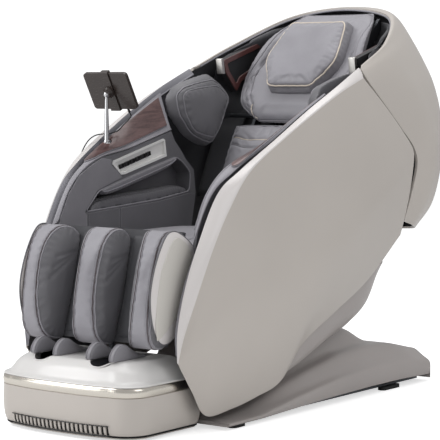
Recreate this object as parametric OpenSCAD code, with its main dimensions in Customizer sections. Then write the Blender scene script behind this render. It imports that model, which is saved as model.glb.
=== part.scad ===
// Reclining massage chair: floor base, tilting pod with moulded side shells,
// reclining hooded backrest, lifting calf rest and a sliding foot box.
// Front faces -Y, +Z is up, the sitter's left is +X. Millimetres.

/* [Shell] */
// Width across the widest points of the side shells
body_w = 780; // [770:2:800]
// Wall of the moulded shells
shell_t = 9; // [7:0.5:10]
// Width of the rolled rim along the arms
rim_w = 22; // [18:1:26]
// Open joint between the side shells and the rear shell
shell_gap = 6; // [5:0.5:9]

/* [Base] */
// Half width of the base skirt
base_half = 330; // [320:1:336]
// Wall of the base cover
base_t = 5; // [4:0.5:6]
// Height of the raised neck under the pod
neck_z = 192; // [170:1:200]
// Half width of the neck
neck_half = 200; // [180:1:210]
// Height of the rubber feet
foot_h = 9; // [7:0.5:11]
// Length of a front foot
foot_front_l = 60; // [50:1:70]
// Length of a rear foot
foot_rear_l = 100; // [80:1:120]

/* [Pivots] */
// Radius of the pod tilt shaft
tilt_r = 15; // [12:0.5:18]
// Radius of the leg rest shaft
leg_r = 13; // [10:0.5:15]
// Radius of the backrest pins
back_r = 13; // [10:0.5:15]
// Running clearance of shafts and rods in their bores
bore_gap = 0.4; // [0.3:0.05:0.5]
// Thickness of the pivot plates
plate_t = 10; // [8:0.5:12]

/* [Seat] */
// Clear width between the arm linings
seat_w = 490; // [480:1:500]
// Height of the seat cushion's flat top above the floor
seat_top = 508; // [500:1:516]
// Height of the seat cushion's underside
seat_low = 442; // [441:1:450]
// Crown of the seat cushion
seat_crown = 14; // [8:1:18]
// Gap between the seat cushion and each arm lining
seat_side_gap = 4; // [3:0.5:8]

/* [Arms] */
// Thickness of the padded arm lining
lining_t = 10; // [8:0.5:12]
// Depth of the arm channel
channel_d = 58; // [50:1:60]
// Wall of the arm channel
channel_t = 5; // [4:0.5:6]
// Thickness of the arm air cushions
airbag_t = 16; // [12:1:20]
// Thickness of the wood inlay
inlay_t = 5; // [4:0.5:6]

/* [Control tray] */
// Depth of the tray recess
tray_d = 10; // [8:0.5:12]
// Thickness of the tray
tray_t = 16; // [14:0.5:18]
// Frame width round the recess
tray_frame = 7; // [6:0.5:9]
// Key length along the tray
key_l = 20; // [16:1:22]
// Key height
key_h = 13; // [10:1:14]
// Key pitch
key_pitch = 25; // [24:0.5:27]
// Key height above the recess floor
key_out = 5; // [4:0.5:6]

/* [Tablet] */
// Tablet width
tab_w = 165; // [150:1:180]
// Tablet height
tab_h = 120; // [110:1:130]
// Tablet thickness
tab_t = 11; // [9:0.5:13]
// Corner radius of the tablet
tab_r = 10; // [6:0.5:14]
// Bezel round the glass
tab_bezel = 8; // [6:0.5:12]
// Lean of the screen from upright
tab_lean = 29; // [20:1:35]
// Length of the chrome stem above its collar
stem_l = 142; // [130:1:155]
// Radius of the ball
ball_r = 9; // [8:0.25:10]
// Radius of the collar at the stem's foot
collar_r = 14; // [12:0.5:15]

/* [Leg rest] */
// Lean of the leg rest when lowered
leg_lean = 15; // [13:0.5:17]
// Length of the calf columns
calf_l = 312; // [300:1:320]
// Depth of the calf columns
calf_d = 123; // [116:1:128]
// Half width of the middle calf column
calf_mid = 56; // [50:1:60]
// Width of each calf channel
calf_gap = 72; // [66:1:78]
// Width of each outer calf column
calf_side = 104; // [96:1:106]
// Thickness of the calf back plate
calf_t = 12; // [10:0.5:14]
// Thickness of the white side caps
cap_t = 12; // [8:0.5:14]

/* [Foot box] */
// Half width of the foot box
foot_half = 250; // [240:1:254]
// Wall of the foot box
foot_t = 5; // [4:0.5:6]
// Height of the metal trim's lower edge
trim_z = 118; // [110:1:124]
// Height of the metal trim band
trim_h = 26; // [20:1:28]
// Height of the foot deck at the wells
deck_z = 204; // [200:1:208]
// Half width of a foot well
well_half = 44; // [40:1:46]
// Distance of each well from the middle
well_x = 100; // [98:1:102]
// Radius of the foot roller lobes
roller_r = 20; // [16:0.5:22]
// Radius of the roller shafts
roller_shaft = 5; // [4:0.25:6]
// Radius of the slide rods
rod_r = 8; // [7:0.25:9]
// Spacing of the slide rods from the middle
rod_x = 25; // [24:0.5:26]

/* [Backrest] */
// Radius of the back track's curve
track_r = 1335; // [1325:1:1345]
// Spacing of the two track rails from the middle
rail_x = 92; // [84:1:100]
// Thickness of the back cushion
back_pad = 32; // [28:1:36]
// Thickness of the head pillow
pillow_t = 42; // [36:1:44]
// Thickness of the shoulder pads
wing_t = 58; // [48:1:62]
// Radius of the kneading rollers
knead_r = 26; // [22:0.5:28]

/* [Cable] */
// Diameter of the tablet cable
cable_d = 3.6; // [3:0.1:3.8]

/* [Hidden] */
hw = body_w / 2;
key_count = 6;
shell_c = [0.72, 0.69, 0.66];
leather_c = [0.47, 0.47, 0.5];
dark_c = [0.27, 0.27, 0.29];
steel_c = [0.4, 0.41, 0.43];
// Pivot centres as [Y, Z]
tilt_p = [145, 250];
leg_p = [-415, 408];
back_p = [110, 405];
track_c = [1498, 106];

function flat(G) = [for (r = G) each r];
function unit(v) = v / max(0.000001, norm(v));
function cat(a, b, c, d, t) = 0.5 * (2 * b + (c - a) * t
    + (2 * a - 5 * b + 4 * c - d) * t * t + (3 * b - a - 3 * c + d) * t * t * t);
// Point at u = 0..1 on a smooth curve through the points P
function curve(P, u) = let (n = len(P) - 1, i = min(n - 1, max(0, floor(u * n))), t = u * n - i)
    cat(i > 0 ? P[i - 1] : 2 * P[0] - P[1], P[i], P[i + 1],
        i < n - 1 ? P[i + 2] : 2 * P[n] - P[n - 1], t);
// Point on a smooth surface through the rows of points C
function patch(C, u, v) = curve([for (r = C) curve(r, v)], u);
function mirror_row(r) = concat([for (p = r) [-p[0], p[1], p[2]]],
    [for (k = [len(r) - 2:-1:0]) r[k]]);
// Unit normals of a grid of points
function normals(G) = let (m = len(G) - 1, n = len(G[0]) - 1) [for (i = [0:m]) [for (j = [0:n])
    unit(cross(G[min(m, i + 1)][j] - G[max(0, i - 1)][j],
        G[i][min(n, j + 1)] - G[i][max(0, j - 1)]))]];
function push(G, N, d) = [for (i = [0:len(G) - 1]) [for (j = [0:len(G[0]) - 1])
    G[i][j] + N[i][j] * (is_list(d) ? d[i][j] : d)]];
// Closed solid between two grids of the same size
module skin(A, B) {
    m = len(A);
    n = len(A[0]);
    s = m * n;
    polyhedron(concat(flat(A), flat(B)), concat(
        [for (i = [0:m - 2]) for (j = [0:n - 2]) each [
            [i * n + j, i * n + j + 1, (i + 1) * n + j + 1],
            [i * n + j, (i + 1) * n + j + 1, (i + 1) * n + j],
            [s + i * n + j, s + (i + 1) * n + j + 1, s + i * n + j + 1],
            [s + i * n + j, s + (i + 1) * n + j, s + (i + 1) * n + j + 1]]],
        [for (i = [0:m - 2]) each [
            [i * n, (i + 1) * n, s + (i + 1) * n], [i * n, s + (i + 1) * n, s + i * n],
            [(i + 1) * n - 1, s + (i + 2) * n - 1, (i + 2) * n - 1],
            [(i + 1) * n - 1, s + (i + 1) * n - 1, s + (i + 2) * n - 1]]],
        [for (j = [0:n - 2]) each [
            [j, s + j + 1, j + 1], [j, s + j, s + j + 1],
            [(m - 1) * n + j, (m - 1) * n + j + 1, s + (m - 1) * n + j + 1],
            [(m - 1) * n + j, s + (m - 1) * n + j + 1, s + (m - 1) * n + j]]]));
}
function ease(k, n) = 0.5 - 0.5 * cos(180 * k / n);
function swell(x) = sqrt(max(0, 1 - pow(abs(2 * x - 1), 3.2)));
function dip(x, at, w) = exp(-pow((x - at) / w, 2));
function sum(L, i = 0) = i == len(L) - 1 ? L[i] : L[i] + sum(L, i + 1);
// Upholstered pad on a surface C: flat back, edge wall and crown with sewn channels
module pad(C, edge, crown, nu = 12, nv = 12, cu = [], cv = [], depth = 6, w = 0.03, out = 1) {
    G = [for (i = [0:nu]) [for (j = [0:nv]) patch(C, ease(i, nu), ease(j, nv))]];
    N = normals(G);
    T = [for (i = [0:nu]) [for (j = [0:nv]) let (u = ease(i, nu), v = ease(j, nv))
        out * (edge + crown * swell(u) * swell(v)
        - depth * max(concat([0], [for (c = cu) dip(u, c, w)], [for (c = cv) dip(v, c, w)])))]];
    if (out > 0) skin(push(G, N, T), G);
    else skin(G, push(G, N, T));
}
module both(side) {
    if (side > 0) children();
    else mirror([1, 0, 0]) children();
}
// Outline moved inward by d, for a convex or gently bent outline given anticlockwise
function inset(P, d) = [for (i = [0:len(P) - 1]) let (
    a = P[(i + len(P) - 1) % len(P)], b = P[i], c = P[(i + 1) % len(P)],
    u = unit(b - a), v = unit(c - b), n = [-u[1], u[0]], k = [-v[1], v[0]], q = unit(n + k))
    b + q * d / max(0.3, q * n)];

// ---- Side shells -------------------------------------------------------
// Curves from the front foot of the panel to the joint with the rear shell
rim_c = [[hw - 117, -598, 200], [hw - 114, -600, 285], [hw - 111, -572, 395],
    [hw - 109, -522, 503], [hw - 104, -440, 640], [hw - 90, -352, 705],
    [hw - 75, -205, 787], [hw - 68, -60, 864], [hw - 64, 80, 930], [hw - 72, 212, 987]];
fold_c = [[hw - 115, -596, 197], [hw - 108, -578, 270], [hw - 94, -540, 372],
    [hw - 80, -486, 500], [hw - 72, -425, 602], [hw - 64, -340, 705],
    [hw - 52, -190, 794], [hw - 44, -40, 868], [hw - 42, 82, 920], [hw - 46, 196, 956]];
crease_c = [[hw - 114, -594, 193], [hw - 84, -545, 222], [hw - 58, -470, 248],
    [hw - 38, -385, 280], [hw - 20, -270, 336], [hw - 7, -130, 408],
    [hw, 20, 482], [hw, 170, 565], [hw - 6, 320, 650], [hw - 20, 450, 736]];
lower_c = [[hw - 116, -590, 188], [hw - 108, -545, 115], [hw - 102, -493, 45],
    [hw - 86, -400, 52], [hw - 74, -298, 73], [hw - 68, -190, 104],
    [hw - 64, -85, 200], [hw - 60, 70, 272], [hw - 58, 250, 355], [hw - 48, 415, 478]];
function panel_at(s, t) = let (r = curve(rim_c, s), f = curve(fold_c, s),
    c = curve(crease_c, s), l = curve(lower_c, s), k = min(1, 6 * s) * (1 - 0.4 * s))
    t <= 3 ? r + (f - r) * t / 3 + [2.5 * k * t * (3 - t), 0, 0]
    : t <= 8 ? f + (c - f) * (t - 3) / 5 + [2.2 * k * (t - 3) * (8 - t), 0, 0]
    : c + (l - c) * (t - 8) / 4 + [2.4 * k * (t - 8) * (12 - t), 1.6 * k * (t - 8) * (12 - t), 0];
side_n = 28;
side_out = [for (i = [0:side_n]) [for (j = [0:12]) panel_at(i / side_n, j)]];
side_in = push(side_out, normals(side_out), [for (i = [0:side_n]) [for (j = [0:12])
    min(1, 0.35 + 4 * i / side_n) * (j < 1 ? rim_w : j < 2 ? (rim_w + shell_t) / 2 : shell_t)]]);
module side_shell() {
    skin(side_in, side_out);
}
module side_shell_left() {
    color(shell_c) side_shell();
}
module side_shell_right() {
    color(shell_c) mirror([1, 0, 0]) side_shell();
}

// ---- Rear shell --------------------------------------------------------
// Rows from the low edge to the hood's arch: joint, side, corner, centre
rear_rows = [
    [[hw - 40, 424, 520], [hw - 44, 490, 500], [hw - 112, 552, 486], [0, 598, 478]],
    [[hw - 30, 448, 600], [hw - 24, 540, 575], [hw - 92, 625, 560], [0, 660, 556]],
    [[hw - 22, 470, 690], [hw - 20, 580, 672], [hw - 90, 676, 668], [0, 718, 668]],
    [[hw - 24, 452, 745], [hw - 20, 590, 760], [hw - 92, 700, 770], [0, 752, 780]],
    [[hw - 28, 384, 805], [hw - 26, 560, 840], [hw - 100, 706, 862], [0, 778, 872]],
    [[hw - 34, 308, 870], [hw - 38, 510, 920], [hw - 114, 696, 950], [0, 781, 950]],
    [[hw - 42, 240, 930], [hw - 56, 450, 985], [hw - 134, 672, 1022], [0, 760, 1024]],
    [[hw - 54, 216, 965], [hw - 76, 430, 1035], [hw - 160, 650, 1084], [0, 728, 1090]],
    [[hw - 68, 220, 984], [hw - 92, 420, 1058], [hw - 186, 632, 1136], [0, 704, 1150]],
    [[hw - 74, 228, 991], [hw - 98, 412, 1067], [hw - 200, 606, 1160], [0, 664, 1186]],
    [[hw - 80, 236, 993], [hw - 104, 404, 1064], [hw - 202, 580, 1154], [0, 612, 1184]]];
rear_m = 16;
rear_n = 22;
rear_out = [for (i = [0:rear_m]) [for (j = [0:rear_n])
    patch([for (r = rear_rows) mirror_row(r)], i / rear_m, j / rear_n)
    + [0, shell_gap - 6, 0]]];
rear_in = push(rear_out, normals(rear_out), -shell_t);
module rear_shell() {
    color(shell_c) skin(rear_out, rear_in);
}

// ---- Under shell -------------------------------------------------------
pan_rows = [
    [[hw - 92, -430, 150], [hw - 82, -170, 178], [hw - 77, 100, 352], [hw - 94, 388, 398], [0, 520, 428]],
    [[hw - 98, -430, 110], [hw - 86, -160, 150], [hw - 80, 100, 270], [hw - 104, 370, 365], [0, 482, 367]],
    [[hw - 112, -425, 84], [hw - 98, -150, 112], [hw - 96, 110, 206], [hw - 124, 345, 290], [0, 438, 310]],
    [[hw - 142, -420, 76], [hw - 132, -140, 104], [hw - 128, 125, 178], [hw - 162, 320, 236], [0, 380,
        240]]];
pan_out = [for (i = [0:9]) [for (j = [0:24])
    patch([for (r = pan_rows) mirror_row(r)], i / 9, j / 24)]];
pan_in = push(pan_out, normals(pan_out), 6);
module under_shell() {
    color(shell_c * 0.92) skin(pan_in, pan_out);
}

// ---- Base --------------------------------------------------------------
function smooth(x) = let (t = min(1, max(0, x))) t * t * (3 - 2 * t);
function low_z(y) = lookup(y, [[-445, 18], [-277, 20], [-86, 48], [97, 68], [290, 80], [452, 79], [622,
    62]]);
function mid_z(y) = lookup(y, [[-445, 20], [-295, 24], [-112, 50], [105, 77], [258, 92], [526, 96],
    [622, 78]]);
function top_z(y) = lookup(y, [[-445, 22], [-285, 34], [-140, 69], [2, 100], [173, 129], [328, 141],
    [480, 132], [622, 100]]);
function base_z(x, y) = let (t = top_z(y))
    t + (neck_z - t) * smooth((neck_half + 38 - x) / 50) * smooth((y + 125) / 60) * smooth((450 - y) / 130);
// One cross-section of the cover, closed along its foot, with the wall d taken off
function base_row(y, d) = let (b = base_half - d, f = foot_h + 1, yy = min(max(y, d - 445), 625 - d),
    g = f - (d > 0 ? 2 : 0),
    x1 = neck_half + 36 - d, x2 = neck_half + 12 - d, x3 = neck_half - 12 - d,
    h = [[b - 4, g], [b, low_z(y)], [b - 30, mid_z(y)], [b - 60, top_z(y)], [x1, base_z(x1, y)],
        [x2, base_z(x2, y)], [x3, base_z(x3, y)], [neck_half / 2, base_z(0, y)], [0, base_z(0, y)]],
    q = [for (k = [0:8]) [h[k][0], yy, k == 0 ? g : max(f - 1, h[k][1] - d)]])
    concat([for (k = [0:8]) [-q[k][0], yy, q[k][2]]], [for (k = [7:-1:0]) q[k]]);
// Closed solid through a stack of loops
module loaf(R) {
    m = len(R);
    n = len(R[0]);
    polyhedron(flat(R), concat([for (i = [0:m - 2]) for (j = [0:n - 1]) let (k = (j + 1) % n) each [
        [i * n + j, (i + 1) * n + k, i * n + k], [i * n + j, (i + 1) * n + j, (i + 1) * n + k]]],
        [[for (j = [0:n - 1]) j]], [[for (j = [n - 1:-1:0]) (m - 1) * n + j]]));
}
base_y = [-445, -360, -280, -190, -110, -60, 0, 100, 200, 290, 350, 400, 450, 520, 590, 625];
module base_cover() {
    color(shell_c) difference() {
        loaf([for (y = base_y) base_row(y, 0)]);
        loaf([for (y = base_y) base_row(y, base_t)]);
        translate([-145, 60, neck_z - 40]) cube([290, 190, 80]);
        translate([-172, 600, 24]) cube([64, 40, 34]);
    }
}
module base_chassis() {
    color(steel_c) {
        for (m = [0, 1]) mirror([m, 0, 0]) {
            difference() {
                union() {
                    translate([-130, 0, 0]) rotate([90, 0, 90]) linear_extrude(plate_t)
                        polygon([[20, 16], [300, 16], [tilt_p[0] + tilt_r + 13, tilt_p[1]],
                            [tilt_p[0] + 14, tilt_p[1] + tilt_r + 8], [tilt_p[0] - 14,
                                tilt_p[1] + tilt_r + 8],
                            [tilt_p[0] - tilt_r - 13, tilt_p[1]]]);
                    translate([-134, tilt_p[0], tilt_p[1]]) rotate([0, 90, 0])
                        cylinder(r = tilt_r + 8, h = plate_t + 8, $fn = 48);
                }
                translate([-150, tilt_p[0], tilt_p[1]]) rotate([0, 90, 0])
                    cylinder(r = tilt_r + bore_gap, h = 60, $fn = 48);
                translate([-150, 160, 70]) rotate([0, 90, 0]) cylinder(r = 28, h = 60, $fn = 40);
            }
        }
        difference() {
            translate([-base_half + 30, -370, foot_h + 1]) cube([2 * base_half - 60, 960, 6]);
            for (y = [-300, -140, 380, 500])
                translate([0, y, 0]) cylinder(r = 45, h = 40, $fn = 40);
        }
    }
}
module base_feet() {
    color([0.06, 0.06, 0.06]) for (s = [-1, 1]) {
        translate([s * (base_half - 26), -405, 0]) foot_bar(foot_front_l);
        translate([s * (base_half - 26), 365, 0]) foot_bar(foot_rear_l);
    }
}
module foot_bar(l) {
    difference() {
        union() {
            translate([0, 14, 0]) cylinder(r = 14, h = foot_h + 1, $fn = 40);
            translate([0, l - 14, 0]) cylinder(r = 14, h = foot_h + 1, $fn = 40);
            translate([-14, 14, 0]) cube([28, l - 28, foot_h + 1]);
        }
        for (k = [-1, 1]) translate([k * 5 - 1, 10, -1]) cube([2, l - 20, 2.5]);
    }
}
module power_inlet() {
    color([0.08, 0.08, 0.08]) difference() {
        union() {
            translate([-171, 596, 25]) cube([62, 27, 32]);
            translate([-176, 625.3, 20]) cube([72, 3, 42]);
            translate([-171, 622, 25]) cube([62, 4, 32]);
        }
        translate([-168, 608, 28]) cube([30, 30, 26]);
        translate([-132, 612, 31]) cube([18, 30, 20]);
        translate([-135, 620, 41]) rotate([0, 90, 0]) cylinder(r = 1.8, h = 24, $fn = 24);
    }
    color([0.7, 0.6, 0.3]) for (x = [-161, -153, -145]) translate([x - 1, 606, 38]) cube([2, 14, 5]);
}
module power_switch() {
    color([0.5, 0.05, 0.05]) {
        translate([-131.5, 620, 41]) rotate([90, 0, 90]) linear_extrude(17)
            polygon([[-5, -8.8], [2, -9], [7, -9], [5, 0], [8, 8.6], [2, 8.8], [-5, 8.8]]);
        translate([-134.5, 620, 41]) rotate([0, 90, 0]) cylinder(r = 1.6, h = 23, $fn = 24);
    }
}

// ---- Seat frame --------------------------------------------------------
rail_out = 217;
module bar_x(x0, x1, p, r) {
    translate([x0, p[0], p[1]]) rotate([0, 90, 0]) cylinder(r = r, h = x1 - x0, $fn = 48);
}
shell_pick = [[11, 7], [16, 8], [21, 10]];
module seat_frame() {
    color(steel_c) {
        difference() {
            for (m = [0, 1]) mirror([m, 0, 0]) {
                translate([rail_out - plate_t, 0, 0]) rotate([90, 0, 90]) linear_extrude(plate_t)
                    polygon([[leg_p[0] - 26, leg_p[1] - 14], [leg_p[0] - 12, leg_p[1] - 26], [-376, 350],
                        [-366, 344], [-336, 344], [-310, 360], [-60, 356],
                        [tilt_p[0] - 90, 330], [tilt_p[0] + 60, 330], [back_p[0] + 60, 372],
                        [back_p[0] + 26, back_p[1] + 8], [back_p[0] + 12, back_p[1] + 24],
                        [back_p[0] - 24, seat_low - 5], [-380, seat_low - 5],
                        [leg_p[0] - 24, seat_low - 5]]);
            }
            for (x = [-1, 1]) translate([0, back_p[0], back_p[1]]) rotate([0, x * 90, 0])
                cylinder(r = back_r + bore_gap, h = 300, $fn = 48);
            for (y = [-260, -130]) translate([-300, y, 404]) rotate([0, 90, 0])
                cylinder(r = 18, h = 600, $fn = 40);
        }
        // Tilt lugs with their shaft
        for (m = [0, 1]) mirror([m, 0, 0]) translate([102, 0, 0]) rotate([90, 0, 90])
            linear_extrude(plate_t)
            polygon([[tilt_p[0] - 20, tilt_p[1] - 8], [tilt_p[0] - 8, tilt_p[1] - 22], [tilt_p[0] + 8,
                tilt_p[1] - 22],
                [tilt_p[0] + 20, tilt_p[1] - 8], [tilt_p[0] + 50, 345], [tilt_p[0] - 80, 345]]);
        bar_x(-138, 138, tilt_p, tilt_r);
        translate([-rail_out + 1, tilt_p[0] - 85, 338]) cube([2 * rail_out - 2, 140, 8]);
        // Leg shaft and the seat pan
        bar_x(-rail_out - 4, rail_out + 4, leg_p, leg_r);
        translate([-rail_out, -430, seat_low - 5.5]) cube([2 * rail_out, 510, 5]);
        // Brackets that carry the side shells
        for (m = [0, 1]) mirror([m, 0, 0]) for (k = shell_pick) {
            p = side_in[k[0]][k[1]];
            translate([rail_out - 2, p[1], p[2]]) rotate([0, 90, 0])
                cylinder(r = 8, h = p[0] - rail_out + 3, $fn = 32);
        }
        // Bosses that carry the under shell and the arm linings
        for (m = [0, 1]) mirror([m, 0, 0]) {
            translate([rail_out - 2, pan_in[1][18][1], pan_in[1][18][2]]) rotate([0, 90, 0])
                cylinder(r = 7, h = pan_in[1][18][0] - rail_out + 4, $fn = 32);
            for (y = [-330, -40]) bar_x(rail_out - 2, arm_x, [y, seat_low - 8], 7.5);
        }
    }
}

// ---- Seat cushion ------------------------------------------------------
seat_half = seat_w / 2 - seat_side_gap;
module seat_cushion() {
    color(dark_c) translate([0, 0, seat_low]) pad([
        [[-calf_half + 3, -452, 0], [0, -452, 0], [calf_half - 3, -452, 0]],
        [[-calf_half + 2, -320, 0], [0, -320, 0], [calf_half - 2, -320, 0]],
        [[-seat_half, -110, 0], [0, -110, 0], [seat_half, -110, 0]],
        [[-seat_half, 102, 0], [0, 102, 0], [seat_half, 102, 0]]],
        seat_top - seat_low - seat_crown, seat_crown, 14, 14, [0.3, 0.72], [0.18, 0.82], 5, 0.03, -1);
}

// ---- Arms --------------------------------------------------------------
arm_x = seat_w / 2;
arm_face = [[-452, seat_low - 14], [84, seat_low - 14], [122, 470], [150, 600], [140, 672], [100, 706],
    [80, 730], [45, 765], [28, 794],
    [-180, 742], [-298, 722], [-345, 703], [-398, 676], [-444, 626], [-482, 556], [-494, 500], [-474, 446]];
channel_face = [[-372, 568], [-222, 576], [-28, 588], [118, 606], [124, 664], [82, 700], [50, 714],
    [-49, 692], [-200, 655], [-312, 626]];
tray_face = [[-214, 670], [-196, 671], [2, 718], [-6, 768], [-14, 772], [-250, 712], [-252, 702]];
// The same outlines on the slanted plane, shared by the linings and the tray
module arm_lining(tray) {
    rotate([90, 0, 90]) {
        translate([0, 0, arm_x]) difference() {
            linear_extrude(lining_t) polygon(arm_face);
            translate([0, 0, -1]) linear_extrude(lining_t + 2) polygon(channel_face);
            if (tray) translate([0, 0, -1]) linear_extrude(lining_t + 2) polygon(inset(tray_face, -0.3));
        }
        translate([0, 0, arm_x + lining_t]) difference() {
            linear_extrude(channel_d - lining_t + channel_t) polygon(inset(channel_face, -channel_t));
            translate([0, 0, -1]) linear_extrude(channel_d - lining_t + 1) polygon(channel_face);
        }
    }
}
module arm_lining_left() {
    color(dark_c) arm_lining(false);
}
module arm_lining_right() {
    color(dark_c) mirror([1, 0, 0]) arm_lining(true);
}
// Padded strip from the lining's top edge up to the rim
top_in = [[arm_x + 3, -490, 545], [arm_x + 3, -444, 630], [arm_x + 3, -380, 690], [arm_x + 3, -298, 726],
    [arm_x + 3, -180, 746], [arm_x + 3, -60, 776], [arm_x + 3, 30, 799]];
function rim_in(s) = curve(rim_c, s) + [-rim_w - 2, 4, -4];
top_s = [0.345, 0.43, 0.51, 0.6, 0.7, 0.78, 0.86];
arm_top_out = [for (i = [0:14]) let (a = curve(top_in, i / 14), b = rim_in(curve(top_s, i / 14)))
    [for (t = [0:4]) a + (b - a) * t / 4 + [1.6 * t * (4 - t) / 2, 0, 1.2 * t * (4 - t)]]];
module arm_top() {
    skin(arm_top_out, push(arm_top_out, normals(arm_top_out), -6));
}
module arm_top_left() {
    color(leather_c) arm_top();
}
module arm_top_right() {
    color(leather_c) difference() {
        mirror([1, 0, 0]) arm_top();
        translate([collar_p[0], collar_p[1], 650]) cylinder(r = collar_r + 0.3, h = 200, $fn = 40);
    }
}
// Wood inlay lying on the strip
inlay_out = [for (i = [0:10]) let (u = 0.42 + 0.55 * i / 10, a = curve(top_in, u),
    b = rim_in(curve(top_s, u)),
    w = min(1, 0.25 + 3 * i / 10))
    [for (t = [0:3]) let (k = 0.5 + (t / 3 - 0.5) * 0.86 * w, q = 4 * k) a + (b - a) * k
        + [1.6 * q * (4 - q) / 2, 0, 1.2 * q * (4 - q)]]];
module wood_inlay() {
    N = normals(inlay_out);
    skin(push(inlay_out, N, inlay_t + 0.8), push(inlay_out, N, 0.8));
}
module wood_inlay_left() {
    color([0.3, 0.13, 0.1]) wood_inlay();
}
collar_p = [-arm_x - 38, -232, 742];
module wood_inlay_right() {
    color([0.3, 0.13, 0.1]) difference() {
        mirror([1, 0, 0]) wood_inlay();
        translate([collar_p[0], collar_p[1], 650]) cylinder(r = collar_r + 0.3, h = 200, $fn = 40);
    }
}
module airbags() {
    translate([0, 0, 0]) pad([
        [[arm_x + 6, -340, 570.6], [arm_x + 30, -340, 570.6], [arm_x + channel_d - 4, -340, 570.6]],
        [[arm_x + 6, -222, 577], [arm_x + 30, -222, 577], [arm_x + channel_d - 4, -222, 577]],
        [[arm_x + 6, -28, 589.1], [arm_x + 30, -28, 589.1], [arm_x + channel_d - 4, -28, 589.1]],
        [[arm_x + 6, 110, 606], [arm_x + 30, 110, 606], [arm_x + channel_d - 4, 110, 606]]],
        4, airbag_t, 10, 4, [0.33, 0.66], [], 5, 0.03, -1);
    pad([
        [[arm_x + 6, -300, 628.2], [arm_x + 30, -300, 628.2], [arm_x + channel_d - 4, -300, 628.2]],
        [[arm_x + 6, -200, 654], [arm_x + 30, -200, 654], [arm_x + channel_d - 4, -200, 654]],
        [[arm_x + 6, -49, 690.8], [arm_x + 30, -49, 690.8], [arm_x + channel_d - 4, -49, 690.8]],
        [[arm_x + 6, 44, 711.6], [arm_x + 30, 44, 711.6], [arm_x + channel_d - 4, 44, 711.6]]],
        4, airbag_t, 10, 4, [0.33, 0.66], [], 5, 0.03, 1);
}
module arm_airbags_left() {
    color(leather_c) airbags();
}
module arm_airbags_right() {
    color(leather_c) mirror([1, 0, 0]) airbags();
}

// ---- Control tray ------------------------------------------------------
tray_slope = 14.5;
module key_at(k) {
    translate([0, -206 + k * key_pitch, 695 + k * key_pitch * tan(tray_slope)]) children();
}
module control_tray() {
    color([0.78, 0.78, 0.76]) difference() {
        translate([-arm_x - tray_t + 3, 0, 0]) rotate([90, 0, 90]) linear_extrude(tray_t)
            polygon(tray_face);
        translate([-arm_x + 3 - tray_d, 0, 0]) rotate([90, 0, 90]) linear_extrude(tray_d + 2)
            polygon(inset(tray_face, tray_frame));
        for (k = [0:key_count - 1]) key_at(k) translate([-arm_x - 1 - tray_d, 0, 0]) rotate([0, 90, 0])
            cylinder(r = 2.4, h = 20, center = true, $fn = 24);
    }
}
module key(k) {
    color([0.15, 0.15, 0.16]) key_at(k) translate([-arm_x + 3 - tray_d, 0, 0]) {
        translate([1.6, 0, 0]) rotate([tray_slope, 0, 0]) difference() {
            translate([0, -key_l / 2, -key_h / 2]) cube([key_out, key_l, key_h]);
            translate([key_out + 28.6, 0, 0]) cylinder(r = 29.6, h = 40, center = true, $fn = 64);
        }
        rotate([0, 90, 0]) translate([0, 0, -3]) cylinder(r = 2, h = 6, $fn = 24);
    }
}
module key_1() {
    key(0);
}
module key_2() {
    key(1);
}
module key_3() {
    key(2);
}
module key_4() {
    key(3);
}
module key_5() {
    key(4);
}
module key_6() {
    key(5);
}

// ---- Stand and tablet --------------------------------------------------
stem_p = [collar_p[0], collar_p[1], collar_p[2] + 24];
ball_p = stem_p + [0, 0, stem_l];
module stand_collar() {
    color([0.85, 0.85, 0.87]) translate(collar_p) rotate_extrude($fn = 48)
        polygon([[6 + bore_gap, 0], [collar_r, 0], [collar_r, 19], [collar_r - 3, 23.6], [6 + bore_gap,
            23.6]]);
}
module stand_post() {
    color([0.85, 0.85, 0.87]) translate(stem_p) {
        rotate_extrude($fn = 48) polygon([[0, -21], [6, -21], [6, 0], [9, 0], [9, 3], [7.4, 6],
            [5, stem_l - 20], [4, stem_l - 8], [0, stem_l - 8]]);
        translate([0, 0, stem_l]) sphere(r = ball_r, $fn = 48);
        translate([0, 0, stem_l - 12]) cylinder(r = 4, h = 10, $fn = 32);
    }
}
module at_tablet() {
    translate(ball_p) rotate([tab_lean, 0, 0]) children();
}
module tablet_clamp() {
    color([0.1, 0.09, 0.09]) at_tablet() {
        difference() {
            rotate([-90, 0, 0]) translate([0, 0, -4]) rotate_extrude($fn = 48)
                polygon([[0, 0], [ball_r + 3.6, 0], [ball_r + 5, 6], [18, 13], [18, 17], [0, 17]]);
            sphere(r = ball_r + 0.3, $fn = 48);
            translate([-5.5, -20, -30]) cube([11, 26, 30]);
        }
        translate([-18, 13, -tab_h / 2 - 3]) cube([36, 4, tab_h + 7]);
        translate([-14, 13, tab_h / 2 + 0.3]) cube([28, tab_t + 8, 3.7]);
        translate([-14, 17 + tab_t + 0.6, tab_h / 2 - 6]) cube([28, 3, 10]);
        translate([-18, 13, -tab_h / 2 - 4]) cube([36, tab_t + 8, 3.7]);
        translate([-18, 17 + tab_t + 0.6, -tab_h / 2 - 4]) cube([36, 3, 9]);
    }
}
module slab(w, h, t, r) {
    rotate([-90, 0, 0]) linear_extrude(t) {
        translate([-w / 2, -h / 2 + r]) square([w, h - 2 * r]);
        translate([-w / 2 + r, -h / 2]) square([w - 2 * r, h]);
        for (x = [-1, 1]) for (z = [-1, 1]) translate([x * (w / 2 - r), z * (h / 2 - r)]) circle(r = r,
            $fn = 40);
    }
}
module tablet() {
    color([0.13, 0.1, 0.1]) at_tablet() translate([0, 17.3, 0]) difference() {
        slab(tab_w, tab_h, tab_t, tab_r);
        translate([0, tab_t - 1.5, 0]) slab(tab_w - 2 * tab_bezel, tab_h - 2 * tab_bezel, 5, 3);
        translate([42, tab_t / 2, -tab_h / 2 - 1]) cylinder(r = 2.6, h = 7, $fn = 24);
    }
}
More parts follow.
